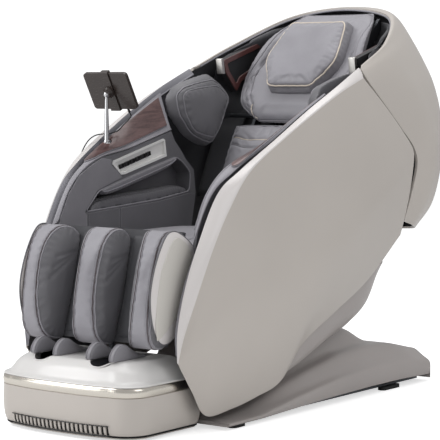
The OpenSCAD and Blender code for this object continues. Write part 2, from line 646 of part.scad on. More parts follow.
module tablet_screen() {
    color([0.05, 0.06, 0.08]) at_tablet() translate([0, 17.3 + tab_t - 1.5, 0])
        slab(tab_w - 2 * tab_bezel - 0.6, tab_h - 2 * tab_bezel - 0.6, 1.3, 2.8);
}
module cable_plug() {
    color([0.08, 0.08, 0.08]) at_tablet() translate([42, 17.3 + tab_t / 2, -tab_h / 2 - 14]) {
        cylinder(r = 3.6, h = 13.8, $fn = 32);
        translate([0, 0, 13]) cylinder(r = 2.3, h = 6, $fn = 24);
    }
}
// Route points of the cable: from the arm's outside over the rim, then up to the tablet
plug_end = ball_p + [42, cos(tab_lean) * (17.3 + tab_t / 2) + sin(tab_lean) * (tab_h / 2 + 14),
    sin(tab_lean) * (17.3 + tab_t / 2) - cos(tab_lean) * (tab_h / 2 + 14)];
cable_up = [plug_end + 0.5 * [0, sin(tab_lean), -cos(tab_lean)], plug_end + [-1, 7, -14], [-268, -175,
    815], [-274, -190, 800], [-284, -212, 792], [-290, -222, 790]];
cable_low = [[-290.6, -222.5, 790], [-300, -230, 790], [-318, -246, 785], [-332, -262, 768], [-340,
    -280, 735], [-345, -286, 700]];
module tube(P, r, n) {
    C = [for (i = [0:n]) curve(P, i / n)];
    R = [for (i = [0:n]) let (d = unit(C[min(n, i + 1)] - C[max(0, i - 1)]), a = unit(cross(d, [0.3,
        0.2, 1])), b = cross(d, a))
        [for (k = [0:7]) C[i] + r * (cos(45 * k) * a + sin(45 * k) * b)]];
    polyhedron(flat(R), concat([[for (k = [0:7]) k]], [[for (k = [7:-1:0]) n * 8 + k]],
        [for (i = [0:n - 1]) for (k = [0:7]) each [
            [i * 8 + k, (i + 1) * 8 + k, (i + 1) * 8 + (k + 1) % 8],
            [i * 8 + k, (i + 1) * 8 + (k + 1) % 8, i * 8 + (k + 1) % 8]]]));
}
module cable_upper() {
    color([0.05, 0.05, 0.05]) tube(cable_up, cable_d / 2, 16);
}
module cable_lower() {
    color([0.05, 0.05, 0.05]) tube(cable_low, cable_d / 2, 16);
}

// ---- Backrest ----------------------------------------------------------
// Point beside the spine track: distance from the curve's centre and angle
function spine(x, r, a) = [x, track_c[0] - (track_r + r) * cos(a), track_c[1] + (track_r + r) * sin(a)];
lining_rows = [
    [[hw - 62, 448, 582], [hw - 120, 398, 567], [180, 305, 552], spine(0, -50, 20)],
    [[hw - 50, 470, 700], [hw - 118, 420, 695], [185, 372, 690], spine(0, -50, 27)],
    [[hw - 55, 366, 855], [hw - 130, 404, 860], [200, 452, 850], spine(0, -50, 35)],
    [[hw - 80, 330, 955], [hw - 104, 480, 985], [215, 560, 970], spine(0, -48, 41.5)],
    [[hw - 112, 334, 1020], [hw - 138, 450, 1060], [205, 580, 1050], spine(0, -30, 46.5)],
    [[hw - 142, 444, 1068], [hw - 168, 540, 1112], [150, 610, 1132], [0, 640, 1146]]];
lining_out = [for (i = [0:10]) [for (j = [0:18]) patch([for (r = lining_rows) mirror_row(r)], i / 10,
    j / 18)]];
module back_lining() {
    color(leather_c * 0.9) skin(lining_out, push(lining_out, normals(lining_out), -6));
}
module on_track(x, a0, a) {
    translate([x, track_c[0], track_c[1]]) rotate([90, 0, 90]) rotate([0, 0, a0]) children();
}
cushion_r = 42;
side_bar_x = 140;
groove_w = 12;
strut_pick = [8, 10];
// Where a strut starts: on the rail's back at the strut's height
function strut_y(k) = let (z = rear_in[k][13][2] - track_c[1]) track_c[0] - sqrt(pow(track_r - 32,
    2) - z * z);
module back_rails() {
    color(steel_c) {
        for (m = [0, 1]) mirror([m, 0, 0]) {
            on_track(rail_x, 133, 33.5) difference() {
                rotate_extrude(angle = 33.5, $fn = 240) translate([track_r - 35, 0]) square([43, 14]);
                translate([0, 0, -1]) rotate_extrude(angle = 33.5, $fn = 240)
                    translate([track_r - 6 - groove_w / 2, 0]) square([groove_w, 9]);
            }
            on_track(side_bar_x, 131, 33.5) rotate_extrude(angle = 33.5, $fn = 240)
                translate([track_r + 12, 0]) square([cushion_r - 1 - 12, 10]);
            // Arm inside each shoulder pad
            bar_x(side_bar_x + 2, 262, [342, 838], 7);
            translate([249, 292, 831]) cube([14, 50, 14]);
            bar_x(side_bar_x + 5, 196, [224, 534], 8);
            // Struts to the rear shell
            for (k = strut_pick) {
                p = rear_in[k][13];
                translate([p[0], strut_y(k), p[2]]) rotate([-90, 0, 0]) cylinder(r = 7,
                    h = p[1] - strut_y(k) + 2, $fn = 32);
                bar_x(rail_x + 4, p[0] + 9, [strut_y(k) + 4, p[2]], 9);
            }
        }
        for (a = [14.6, 46.6]) let (q = spine(0, 11, a)) bar_x(-side_bar_x - 5, side_bar_x + 5, [q[1],
            q[2]], 8);
        let (q = spine(0, cushion_r - 7.6, 43.5)) bar_x(-side_bar_x - 5, side_bar_x + 5, [q[1], q[2]], 6);
        for (m = [0, 1]) mirror([m, 0, 0]) {
            bar_x(rail_out - plate_t - 14, rail_out + 2, back_p, back_r);
            // Thrust washer against the seat rail
            bar_x(rail_out - plate_t - 3, rail_out - plate_t - 0.3, back_p, back_r + 9);
            translate([rail_out - plate_t - 12, 0, 0]) rotate([90, 0, 90]) linear_extrude(plate_t)
                polygon([[back_p[0] - 20, back_p[1] - 12], [back_p[0] + 4, back_p[1] - 22],
                    [back_p[0] + 40, back_p[1] - 16],
                    [262, 500], [338, 640], [320, 652], [238, 556], [184, 462], [back_p[0] - 18,
                        back_p[1] + 14]]);
        }
    }
}
module back_cushion() {
    color(leather_c) pad([for (a = [15.2, 19, 23, 26.5, 29, 30.6])
        [for (x = [-205, -120, 0, 120, 205]) spine(x, cushion_r, a)]],
        back_pad - 20, 20, 16, 12, [0.42, 0.7], [0.2, 0.8], 5, 0.02, -1);
}
flap_t = 30;
// Angle, half width and edge distance of the head cushion's cross sections
flap_rows = [[30.9, 112, 43], [32.2, 165, 46], [33.8, 212, 56], [37, 224, 66], [40, 205, 88],
    [43.5, 186, 88], [47, 160, 66], [49.6, 128, 50]];
module head_cushion() {
    color(leather_c) pad([for (q = flap_rows)
        [spine(-q[1], q[2], q[0]), spine(-q[1] * 0.82, cushion_r + 2.6, q[0]), spine(0, cushion_r, q[0]),
            spine(q[1] * 0.82, cushion_r + 2.6, q[0]), spine(q[1], q[2], q[0])]],
        flap_t, 4, 18, 16, [], [0.2, 0.8], 4, 0.02, -1);
}
pillow_gap = 0.6;
module head_pillow() {
    color(leather_c) pad([for (q = [[34.6, 87], [36.5, 110], [39, 136], [42, 128], [45.7, 108]])
        [for (x = [-1, -0.5, 0, 0.5, 1]) spine(x * q[1], cushion_r + flap_t + 4 + pillow_gap, q[0])]],
        pillow_t - 12, 12, 12, 12, [], [], 0, 0.02, -1);
}
module wing() {
    pad([
        [[268, 220, 740], [268, 166, 752], [266, 108, 776]],
        [[270, 268, 796], [272, 180, 802], [272, 82, 806]],
        [[272, 306, 852], [276, 190, 856], [278, 52, 842]],
        [[272, 322, 902], [278, 190, 905], [282, 44, 893]],
        [[272, 236, 972], [276, 150, 955], [280, 70, 930]]],
        24, wing_t - 24, 12, 12, [], [0.5], 6, 0.03, -1);
}
module shoulder_pad_left() {
    color(leather_c) wing();
}
module shoulder_pad_right() {
    color(leather_c) mirror([1, 0, 0]) wing();
}
speaker_face = [[300, 975], [358, 914], [382, 946], [526, 1006], [552, 1074], [506, 1080], [288, 1014]];
module speaker() {
    rotate([90, 0, 90]) translate([0, 0, 243]) difference() {
        linear_extrude(20) polygon(speaker_face);
        translate([0, 0, -1]) linear_extrude(5) polygon(inset(speaker_face, 9));
        for (i = [0:6]) for (j = [0:2]) translate([352 + i * 24, 984 + i * 9 + j * 18, -1])
            cylinder(r = 3, h = 20, $fn = 16);
    }
}
module speaker_left() {
    color([0.3, 0.13, 0.1]) speaker();
}
module speaker_right() {
    color([0.3, 0.13, 0.1]) mirror([1, 0, 0]) speaker();
}

// ---- Massage carriage --------------------------------------------------
knead_a = 24;
knead_p = spine(0, -6, knead_a);
module massage_carriage() {
    color(steel_c * 0.8) {
        translate([0, track_c[0], track_c[1]]) rotate([90, 0, 90]) rotate([0, 0, 180 - knead_a - 2.4])
            difference() {
                translate([0, 0, -rail_x + 4]) rotate_extrude(angle = 4.8, $fn = 240)
                    translate([track_r - 26, 0]) square([10, 2 * rail_x - 8]);
                for (z = [-50, 50]) rotate([0, 0, 2.4]) translate([track_r - 30, 0, z]) rotate([0, 90, 0])
                    cylinder(r = 12, h = 30, $fn = 32);
            }
        for (m = [0, 1]) mirror([m, 0, 0]) for (a = [-1.7, 1.7]) let (q = spine(0, -6, knead_a + a)) {
            bar_x(rail_x - 10, rail_x + 8, [q[1], q[2]], groove_w / 2 - 0.3);
            translate([rail_x - 12, q[1], q[2]]) rotate([-knead_a - a, 0, 0]) translate([0, -6, -8])
                cube([8, 26, 16]);
        }
        for (x = [-56, -16, 4, 44]) translate([x, knead_p[1], knead_p[2]]) rotate([-knead_a, 0, 0])
            translate([0, -2, -16]) difference() {
                cube([12, 18, 32]);
                translate([-1, 2, 16]) rotate([0, 90, 0]) cylinder(r = 5 + bore_gap, h = 20, $fn = 32);
            }
    }
}
module kneading_arm() {
    color([0.2, 0.2, 0.22]) translate([0, knead_p[1], knead_p[2]]) rotate([-knead_a, 0, 0]) {
        translate([16.4, 0, 0]) rotate([0, 90, 0]) cylinder(r = 5, h = 27.2, $fn = 32);
        translate([18, 0, 0]) rotate([90, 0, 90]) linear_extrude(8)
            polygon([[-6, -9], [6, -9], [6, 9], [-12, 52], [-20, 50], [-10, 0], [-20, -50], [-12, -52]]);
        for (z = [-50, 50]) translate([20, -15, z]) rotate([0, 90, 0]) cylinder(r = 4, h = 26, $fn = 32);
        for (z = [-50, 50]) translate([30, -15, z]) rotate([0, 90, 0]) rotate_extrude($fn = 40)
            polygon([[3.9, 0], [18, 0], [knead_r - 4, 4], [knead_r - 4, 10], [18, 14], [3.9, 14]]);
    }
}
module kneading_arm_left() {
    kneading_arm();
}
module kneading_arm_right() {
    mirror([1, 0, 0]) kneading_arm();
}

// ---- Leg rest ----------------------------------------------------------
leg_o = [0, -597, 240];
module at_leg() {
    translate(leg_o) rotate([-leg_lean, 0, 0]) children();
}
// The leg pivot in the leg rest's own lean
pv = [0, leg_p[0] - leg_o[1], leg_p[1] - leg_o[2]];
leg_q = [pv[1] * cos(leg_lean) - pv[2] * sin(leg_lean), pv[1] * sin(leg_lean) + pv[2] * cos(leg_lean)];
calf_half = calf_mid + calf_gap + calf_side;
module calf_frame() {
    color(dark_c) at_leg() {
        difference() {
            union() {
                translate([-calf_half + 2, 0, 0]) cube([2 * calf_half - 4, calf_t, calf_l]);
                for (x = [-1, 1]) translate([x * rod_x, calf_t + 14, 30]) cylinder(r = rod_r + 5,
                    h = 120, $fn = 40);
                for (x = [-1, 1]) translate([x * rod_x - 6, calf_t - 2, 30]) cube([12, 10, 120]);
            }
            for (x = [-1, 1]) translate([x * rod_x, calf_t + 14, 20]) cylinder(r = rod_r + bore_gap,
                h = 180, $fn = 40);
        }
        for (x = [-190, 178]) translate([x, 0, 0]) rotate([90, 0, 90]) difference() {
            linear_extrude(12) polygon([[calf_t - 3, 40], [calf_t - 3, 165], [leg_q[0] - 28, 165],
                [leg_q[0] - 18, leg_q[1] + 10],
                [leg_q[0] - 4, leg_q[1] + leg_r + 8], [leg_q[0] + leg_r + 4, leg_q[1] + 10],
                [leg_q[0] + leg_r + 6, leg_q[1] - 8], [leg_q[0] + 4, leg_q[1] - leg_r - 9]]);
            translate([leg_q[0], leg_q[1], -1]) cylinder(r = leg_r + bore_gap, h = 20, $fn = 48);
        }
    }
}
// Closed solid whose outline P in Y and Z shrinks about c towards its two side faces
module stack(P, c, x0, x1, edge) {
    n = len(P);
    size = sum([for (p = P) norm(p - c)]) / n;
    X = [[x0, edge], [x0 + edge * 0.22, edge * 0.4], [x0 + edge * 0.8, 0],
        [x1 - edge * 0.8, 0], [x1 - edge * 0.22, edge * 0.4], [x1, edge]];
    m = len(X);
    R = [for (q = X) [for (p = P) let (w = c + (p - c) * (1 - q[1] / size)) [q[0], w[0], w[1]]]];
    polyhedron(flat(R), concat(
        [for (i = [0:m - 2]) for (j = [0:n - 1]) let (k = (j + 1) % n) each [
            [(i + 1) * n + k, (i + 1) * n + j, i * n + j],
            [(i + 1) * n + k, i * n + j, i * n + k]]],
        [[for (j = [n - 1:-1:0]) j]], [[for (j = [0:n - 1]) (m - 1) * n + j]]));
}
// Side outline of a calf column as shares of its depth and length
calf_side_c = [[0, -0.03], [-0.33, -0.045], [-0.62, 0.035], [-0.85, 0.21], [-0.965, 0.4], [-1, 0.6],
    [-0.93, 0.77], [-0.76, 0.895], [-0.52, 0.965], [-0.24, 0.98], [0, 0.93]];
calf_ring = [for (i = [0:24]) let (p = curve(calf_side_c, i / 24)) [p[0] * calf_d - 0.3, p[1] * calf_l]];
module calf_column(x0, x1) {
    stack(calf_ring, [-0.3, calf_l * 0.46], x0, x1, 15);
}
module calf_pad_left() {
    color(leather_c) at_leg() calf_column(calf_mid + calf_gap, calf_half);
}
module calf_pad_centre() {
    color(leather_c) at_leg() calf_column(-calf_mid, calf_mid);
}
module calf_pad_right() {
    color(leather_c) at_leg() calf_column(-calf_half, -calf_mid - calf_gap);
}
cap_rim = [[-562, 545], [-601, 527], [-643, 452], [-662, 372], [-648, 292], [-614, 250], [-568, 258],
    [-507, 308], [-470, 372], [-456, 420], [-456, 458], [-474, 492], [-512, 524]];
module calf_cap() {
    n = len(cap_rim) - 1;
    c = sum(cap_rim) / (n + 1);
    G = [for (i = [0:24]) let (p = curve(concat(cap_rim, [cap_rim[0]]), i / 24))
        [for (t = [1, 0.93, 0.7, 0.35, 0.02]) let (q = c + (p - c) * t)
            [calf_half + 0.4 + cap_t * (0.45 + 0.55 * sqrt(1 - pow(t, 4))), q[0], q[1]]]];
    B = [for (r = G) [for (p = r) [calf_half + 0.4, p[1], p[2]]]];
    skin_ring(G, B);
}
// Closed disc between two fans of rings around a middle
module skin_ring(A, B) {
    m = len(A) - 1;
    n = len(A[0]);
    s = m * n;
    P = concat(flat([for (i = [0:m - 1]) A[i]]), flat([for (i = [0:m - 1]) B[i]]));
    polyhedron(P, concat(
        [for (i = [0:m - 1]) for (j = [0:n - 2]) let (k = (i + 1) % m) each [
            [i * n + j, i * n + j + 1, k * n + j + 1], [i * n + j, k * n + j + 1, k * n + j],
            [s + i * n + j, s + k * n + j + 1, s + i * n + j + 1], [s + i * n + j, s + k * n + j,
                s + k * n + j + 1]]],
        [for (i = [0:m - 1]) let (k = (i + 1) % m) each [
            [i * n, k * n, s + k * n], [i * n, s + k * n, s + i * n]]],
        [[for (i = [m - 1:-1:0]) i * n + n - 1]], [[for (i = [0:m - 1]) s + i * n + n - 1]]));
}
module calf_cap_left() {
    color(shell_c) calf_cap();
}
module calf_cap_right() {
    color(shell_c) mirror([1, 0, 0]) calf_cap();
}

// ---- Foot box ----------------------------------------------------------
foot_rear = -455;
roller_y = [-660, -585];
roller_z = 46;
foot_front = -772;
// Plan outline with bulged front, moved inward by d
function foot_plan(d, z) = let (w = foot_half - d, f = foot_front + d, r = foot_rear - d, c = 74)
    [for (p = concat(
        [for (k = [0:3]) [w - 18 + 18 * cos(90 - 30 * k), r - 18 + 18 * sin(90 - 30 * k)]],
        [for (k = [0:6]) [w - c + c * cos(-15 * k), f + 14 + c - c * sin(15 * k)]],
        [for (x = [0.5, 0.25, 0]) [(w - c) * x * 1.2, f + 14 - 16 * (1 - x * x)]])) [p[0], p[1], z]];
function foot_ring(d, z) = let (h = foot_plan(d, z), n = len(h)) concat(h, [for (k = [n - 2:-1:0])
    [-h[k][0], h[k][1], z]]);
foot_prof = [[10, 8], [2, 30], [-1, 70], [0, trim_z - 0.3]];
module ring_shell(prof, t) {
    A = [for (p = prof) foot_ring(p[0], p[1])];
    B = [for (p = prof) foot_ring(p[0] + t, p[1])];
    closed(A, B);
}
// Closed wall between an outer and an inner stack of rings
module closed(A, B) {
    m = len(A);
    n = len(A[0]);
    s = m * n;
    polyhedron(concat(flat(A), flat(B)), concat(
        [for (i = [0:m - 2]) for (j = [0:n - 1]) let (k = (j + 1) % n) each [
            [i * n + j, i * n + k, (i + 1) * n + k], [i * n + j, (i + 1) * n + k, (i + 1) * n + j],
            [s + i * n + j, s + (i + 1) * n + k, s + i * n + k],
            [s + i * n + j, s + (i + 1) * n + j, s + (i + 1) * n + k]]],
        [for (j = [0:n - 1]) let (k = (j + 1) % n, e = (m - 1) * n) each [
            [j, s + k, k], [j, s + j, s + k], [e + j, e + k, s + e + k], [e + j, s + e + k, s + e + j]]]));
}
module foot_shell() {
    color(shell_c * 0.97) difference() {
        ring_shell(foot_prof, foot_t);
        for (i = [-11:11]) translate([i * 15 - 4, foot_front - 30, 18]) cube([8, 70, 22]);
    }
    color([0.06, 0.06, 0.06]) for (x = [-1, 1]) for (y = [-700, -500])
        translate([x * 120, y, 1]) cylinder(r = 22, h = 8, $fn = 40);
    color([0.06, 0.06, 0.06]) difference() {
        translate([0, 0, 9]) linear_extrude(5) polygon([for (p = foot_ring(10 + foot_t / 2, 0)) [p[0],
            p[1]]]);
        for (x = [-1, 1]) for (y = [-690, -580]) translate([x * well_x - 30, y, 0]) cube([60, 24, 30]);
    }
}
module foot_trim() {
    color([0.8, 0.72, 0.58]) difference() {
        ring_shell([[0.2, trim_z], [-1.5, trim_z + trim_h / 2], [0.5, trim_z + trim_h]], foot_t + 2);
        translate([-foot_half + 60, foot_rear - 40, trim_z - 1]) cube([2 * foot_half - 120, 60,
            trim_h + 2]);
    }
}
well_face = [[well_x - well_half, -540], [well_x - well_half, -690], [well_x - well_half + 12, -716],
    [well_x - 14, -730], [well_x + 14, -730], [well_x + well_half - 12, -716], [well_x + well_half, -690],
    [well_x + well_half, -540], [well_x + well_half - 14, -522], [well_x - well_half + 14, -522]];
module wells(d, z0, z1) {
    for (m = [0, 1]) mirror([m, 0, 0]) translate([0, 0, z0]) linear_extrude(z1 - z0)
        polygon(inset(well_face, -d));
}
module foot_deck() {
    color([0.8, 0.79, 0.77]) {
        difference() {
            union() {
                difference() {
                    deck_solid(0);
                    deck_solid(foot_t);
                    translate([-230, foot_rear - 40, trim_z - 20]) cube([460, 80, trim_h + 50]);
                }
            }
            wells(0, 30, 300);
        }
    }
    color(dark_c) difference() {
        wells(3.5, 24, deck_z - 3);
        wells(0, 29, 300);
        for (x = [-1, 1]) for (y = roller_y) translate([x * well_x - 33, y - 24, 10]) cube([66, 48, 30]);
        for (y = roller_y) translate([-200, y, roller_z]) rotate([0, 90, 0])
            cylinder(r = roller_shaft + bore_gap, h = 400, $fn = 40);
    }
    color(steel_c) at_leg() for (x = [-1, 1]) translate([x * rod_x, calf_t + 14, -38])
        cylinder(r = rod_r, h = 238, $fn = 40);
}
module deck_solid(d) {
    A = [foot_ring(0.5 + d, trim_z + trim_h + 0.3 - (d > 0 ? 1 : 0)), foot_ring(14 + d,
        trim_z + trim_h + 12 - d / 2),
        foot_ring(46 + d, deck_z - 6 - d), foot_ring(64 + d, deck_z - d)];
    n = len(A[0]);
    polyhedron(flat(A), concat([for (i = [0:2]) for (j = [0:n - 1]) let (k = (j + 1) % n) each [
        [i * n + j, i * n + k, (i + 1) * n + k], [i * n + j, (i + 1) * n + k, (i + 1) * n + j]]],
        [[for (j = [n - 1:-1:0]) j]], [[for (j = [0:n - 1]) 3 * n + j]]));
}
// Two leaf-shaped ankle pads that stand on the deck beside a foot well
leaf_c = [[-714, 0], [-711, 16], [-698, 33], [-680, 42], [-660, 39], [-638, 25], [-610, 12], [-585, 5],
    [-574, 0]];
leaf_ring = [for (i = [0:20]) let (p = curve(leaf_c, i / 20)) [p[0], deck_z + 0.3 + max(0, p[1])]];
leaf_t = 22;
module toe_pad() {
    for (x = [-1, 1]) let (c = well_x + x * (well_half - 3))
        stack(leaf_ring, [-650, deck_z + 0.3], c - leaf_t / 2, c + leaf_t / 2, 9);
}
module toe_pad_left() {
    color(leather_c) toe_pad();
}
module toe_pad_right() {
    color(leather_c) mirror([1, 0, 0]) toe_pad();
}
module foot_roller(y) {
    color([0.2, 0.2, 0.22]) translate([0, y, roller_z]) rotate([0, 90, 0]) {
        translate([0, 0, -well_x - well_half - 12]) cylinder(r = roller_shaft,
            h = 2 * (well_x + well_half + 12), $fn = 32);
        for (s = [-1, 1]) for (k = [-1, 0, 1]) translate([0, 0, s * well_x + k * 20 - 7])
            rotate_extrude($fn = 40)
            polygon([[roller_shaft - 0.1, 0], [roller_r - 6, 0], [roller_r, 7], [roller_r - 6, 14],
                [roller_shaft - 0.1, 14]]);
    }
}
module foot_roller_front() {
    foot_roller(roller_y[0]);
}
module foot_roller_rear() {
    foot_roller(roller_y[1]);
}

// ---- Drawing ------------------------------------------------------------
base_cover();
base_chassis();
base_feet();
power_inlet();
power_switch();
seat_frame();
side_shell_left();
side_shell_right();
under_shell();
arm_lining_left();
arm_lining_right();
arm_top_left();
arm_top_right();
wood_inlay_left();
wood_inlay_right();
control_tray();
key_1();
key_2();
key_3();
key_4();
key_5();
key_6();
arm_airbags_left();
arm_airbags_right();
seat_cushion();
stand_collar();
stand_post();
tablet_clamp();
tablet();
tablet_screen();
cable_lower();
cable_upper();
cable_plug();
rear_shell();
back_lining();
back_rails();
back_cushion();
head_cushion();
head_pillow();
shoulder_pad_left();
shoulder_pad_right();
speaker_left();
speaker_right();
massage_carriage();
kneading_arm_left();
kneading_arm_right();
calf_frame();
calf_pad_left();
calf_pad_centre();
calf_pad_right();
calf_cap_left();
calf_cap_right();
foot_shell();
foot_trim();
foot_deck();
toe_pad_left();
toe_pad_right();
foot_roller_front();
foot_roller_rear();
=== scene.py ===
"""Dress of a reclining massage chair: smooth shells, leather pads, wood, chrome and light."""
import math

import bmesh
import bpy
import numpy as np
from mathutils import Matrix, Vector
from mathutils.bvhtree import BVHTree
from mathutils.kdtree import KDTree


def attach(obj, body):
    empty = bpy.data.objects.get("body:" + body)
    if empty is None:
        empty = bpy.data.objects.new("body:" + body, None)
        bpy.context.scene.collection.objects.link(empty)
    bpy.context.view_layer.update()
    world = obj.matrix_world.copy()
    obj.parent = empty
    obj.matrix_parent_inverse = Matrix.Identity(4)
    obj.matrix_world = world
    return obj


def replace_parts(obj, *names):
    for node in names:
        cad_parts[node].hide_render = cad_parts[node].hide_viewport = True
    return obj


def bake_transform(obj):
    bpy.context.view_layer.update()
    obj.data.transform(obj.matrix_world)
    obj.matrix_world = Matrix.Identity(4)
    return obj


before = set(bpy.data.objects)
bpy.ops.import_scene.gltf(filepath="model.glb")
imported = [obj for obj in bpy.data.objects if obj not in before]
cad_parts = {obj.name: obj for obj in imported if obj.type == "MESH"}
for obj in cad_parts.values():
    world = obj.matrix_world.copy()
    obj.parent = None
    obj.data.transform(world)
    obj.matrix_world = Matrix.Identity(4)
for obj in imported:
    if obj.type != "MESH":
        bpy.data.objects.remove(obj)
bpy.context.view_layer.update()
MM = 0.001

# ---- Sizes of the chair, in millimetres --------------------------------
HW = 390
ARM_X = 245
TRACK_CENTRE = (1498, 106)
TRACK_RADIUS = 1335
CUSHION_R = 42
LEG_LEAN = math.radians(15)
LEG_FOOT = np.array([0, -597, 240.0])
CALF_MID, CALF_GAP, CALF_SIDE = 56, 72, 104
CALF_HALF = CALF_MID + CALF_GAP + CALF_SIDE
FOOT_HALF, FOOT_FRONT, FOOT_REAR = 250, -772, -455
TRIM_Z, TRIM_H, DECK_Z = 118, 26, 204
WELL_X, WELL_HALF = 100, 44
BALL = np.array([-ARM_X - 38, -232, 742 + 24 + 142.0])
TAB_LEAN = math.radians(29)
CABLE_D = 3.6
COLLAR_HOLE = 14.8
SIDES = ((1, "left"), (-1, "right"))
MERGE = 2e-6


def place_object(name, data):
    """New object in the scene's own collection."""
    obj = bpy.data.objects.new(name, data)
    bpy.context.scene.collection.objects.link(obj)
    return obj


# ---- Camera ------------------------------------------------------------
CAMERA_AT = (3.2552, -4.3569, 0.940)
CAMERA_TURN, CAMERA_DIP, LENS = 0.647, 0.0747, 149.24


def place_camera():
    camera = place_object("camera", bpy.data.cameras.new("camera"))
    camera.data.sensor_width = 36
    camera.data.lens = LENS
    camera.data.clip_end = 60
    camera.location = CAMERA_AT
    level = math.cos(CAMERA_DIP)
    forward = Vector((-math.sin(CAMERA_TURN) * level, math.cos(CAMERA_TURN) * level, -math.sin(CAMERA_DIP)))
    camera.rotation_euler = forward.to_track_quat("-Z", "Y").to_euler()
    bpy.context.scene.camera = camera


place_camera()


# ---- Curves and surfaces -----------------------------------------------
def catmull(a, b, c, d, t):
    return 0.5 * (2 * b + (c - a) * t + (2 * a - 5 * b + 4 * c - d) * t * t + (3 * b - a - 3 * c + d)
                  * t**3)


def weights(n, us):
    """Share of each of n control points at u = 0..1 along a smooth curve, one row per u."""
    us = np.atleast_1d(np.asarray(us, float))
    at = us * (n - 1)
    i = np.clip(np.floor(at).astype(int), 0, n - 2)
    t = at - i
    basis = np.stack([2 * t**2 - t - t**3, 2 - 5 * t**2 + 3 * t**3, t + 4 * t**2 - 3 * t**3, t**3 - t**2],
                     1) / 2
    out = np.zeros((len(us), n))
    for k in range(4):
        for row, j in enumerate(i - 1 + k):
            w = basis[row, k]
            if j < 0:
                out[row, 0] += 2 * w
                out[row, 1] -= w
            elif j >= n:
                out[row, n - 1] += 2 * w
                out[row, n - 2] -= w
            else:
                out[row, j] += w
    return out


def curve(points, u):
    """Point at u = 0..1 on a smooth curve through the points."""
    p = np.asarray(points, float)
    return weights(len(p), u)[0] @ p


def line(points, count):
    p = np.asarray(points, float)
    return weights(len(p), np.linspace(0, 1, count)) @ p


def ring(points, count):
    """Closed smooth loop through the points."""
    p = np.asarray(points, float)
    n = len(p)
    out = []
    for k in range(count):
        s = k / count * n
        i = int(s)
        out.append(catmull(p[(i - 1) % n], p[i % n], p[(i + 1) % n], p[(i + 2) % n], s - i))
    return np.array(out)


def patch(rows, u_steps, v_steps):
    """Grid of points on a smooth surface through rows of control points."""
    p = np.asarray(rows, float)
    down = weights(p.shape[0], np.linspace(0, 1, u_steps + 1))
    over = weights(p.shape[1], np.linspace(0, 1, v_steps + 1))
    return np.einsum("am,mnk,bn->abk", down, p, over)


def mirrored_row(row):
    return [[-p[0], p[1], p[2]] for p in row] + [list(p) for p in row[-2::-1]]


def grid_normals(g):
    du = np.gradient(g, axis=0)
    dv = np.gradient(g, axis=1)
    n = np.cross(du, dv)
    return n / np.maximum(np.linalg.norm(n, axis=2, keepdims=True), 1e-9)


def smooth_rows(g, passes, axis):
    """Rounds creases that run across an axis of a grid, with its border held."""
    for _ in range(passes):
        h = g.copy()
        if axis == 1:
            h[:, 1:-1] = (g[:, :-2] + 2 * g[:, 1:-1] + g[:, 2:]) / 4
        else:
            h[1:-1] = (g[:-2] + 2 * g[1:-1] + g[2:]) / 4
        g = h
    return g


def spine(x, r, a):
    """Point beside the back track: X, distance from the track and angle in degrees."""
    a = math.radians(a)
    return [
        x,
        TRACK_CENTRE[0] - (TRACK_RADIUS + r) * math.cos(a),
        TRACK_CENTRE[1] + (TRACK_RADIUS + r) * math.sin(a),
    ]


def leg_point(x, y, z):
    """Point of the leg rest's own lean, in the row frame."""
    c, s = math.cos(LEG_LEAN), math.sin(LEG_LEAN)
    return LEG_FOOT + np.array([x, y * c + z * s, -y * s + z * c])


# ---- Meshes ------------------------------------------------------------
def bare_object(name, verts, faces, turn_out=False):
    """Object from points in millimetres: merged, its normals made to agree."""
    mesh = bpy.data.meshes.new(name)
    mesh.from_pydata([tuple(v) for v in np.asarray(verts, float) * MM], [], faces)
    if not turn_out:
        mesh.validate()
    obj = place_object(name, mesh)
    bm = bmesh.new()
    bm.from_mesh(mesh)
    bmesh.ops.remove_doubles(bm, verts=bm.verts, dist=MERGE)
    bmesh.ops.recalc_face_normals(bm, faces=bm.faces)
    if turn_out and bm.calc_volume(signed=True) < 0:
        bmesh.ops.reverse_faces(bm, faces=bm.faces)
    bm.to_mesh(mesh)
    bm.free()
    return obj


def new_object(name, verts, faces, material, body, smooth=True):
    obj = bare_object(name, verts, faces)
    obj.data.polygons.foreach_set("use_smooth", [smooth] * len(obj.data.polygons))
    if material:
        obj.data.materials.append(material)
    if body:
        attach(obj, body)
    return obj


def cutter(verts, faces):
    return new_object("cutter", verts, faces, None, None, False)


def sheet(name, outer, inner, material, body):
    """Closed shell between two grids of points."""
    return new_object(name, *shell_between(outer, inner), material, body)


def set_slots(obj, slots):
    obj.data.polygons.foreach_set("material_index", slots)


def skin_faces(m, n, offset=0, flip=False, wrap=False):
    faces = []
    for i in range(m - 1):
        for j in range(n if wrap else n - 1):
            k = (j + 1) % n
            f = [offset + i * n + j, offset + i * n + k, offset + (i + 1) * n + k, offset + (i + 1) * n + j]
            faces.append(f[::-1] if flip else f)
    return faces


def shell_between(outer, inner):
    """Vertices and faces of the closed solid between two grids of one size."""
    m, n = outer.shape[:2]
    s = m * n
    verts = np.concatenate([outer.reshape(-1, 3), inner.reshape(-1, 3)])
    faces = skin_faces(m, n) + skin_faces(m, n, s, True)
    for i in range(m - 1):
        faces.append([i * n, (i + 1) * n, s + (i + 1) * n, s + i * n])
        faces.append([(i + 1) * n - 1, s + (i + 1) * n - 1, s + (i + 2) * n - 1, (i + 2) * n - 1])
    for j in range(n - 1):
        faces.append([j, s + j, s + j + 1, j + 1])
        e = (m - 1) * n
        faces.append([e + j, e + j + 1, s + e + j + 1, s + e + j])
    return verts, faces


def soften_edges(obj, width=0.0012, segments=2, angle=40):
    bevel = obj.modifiers.new("edge_round", "BEVEL")
    bevel.width = width
    bevel.segments = segments
    bevel.limit_method = "ANGLE"
    bevel.angle_limit = math.radians(angle)
    bevel.harden_normals = False


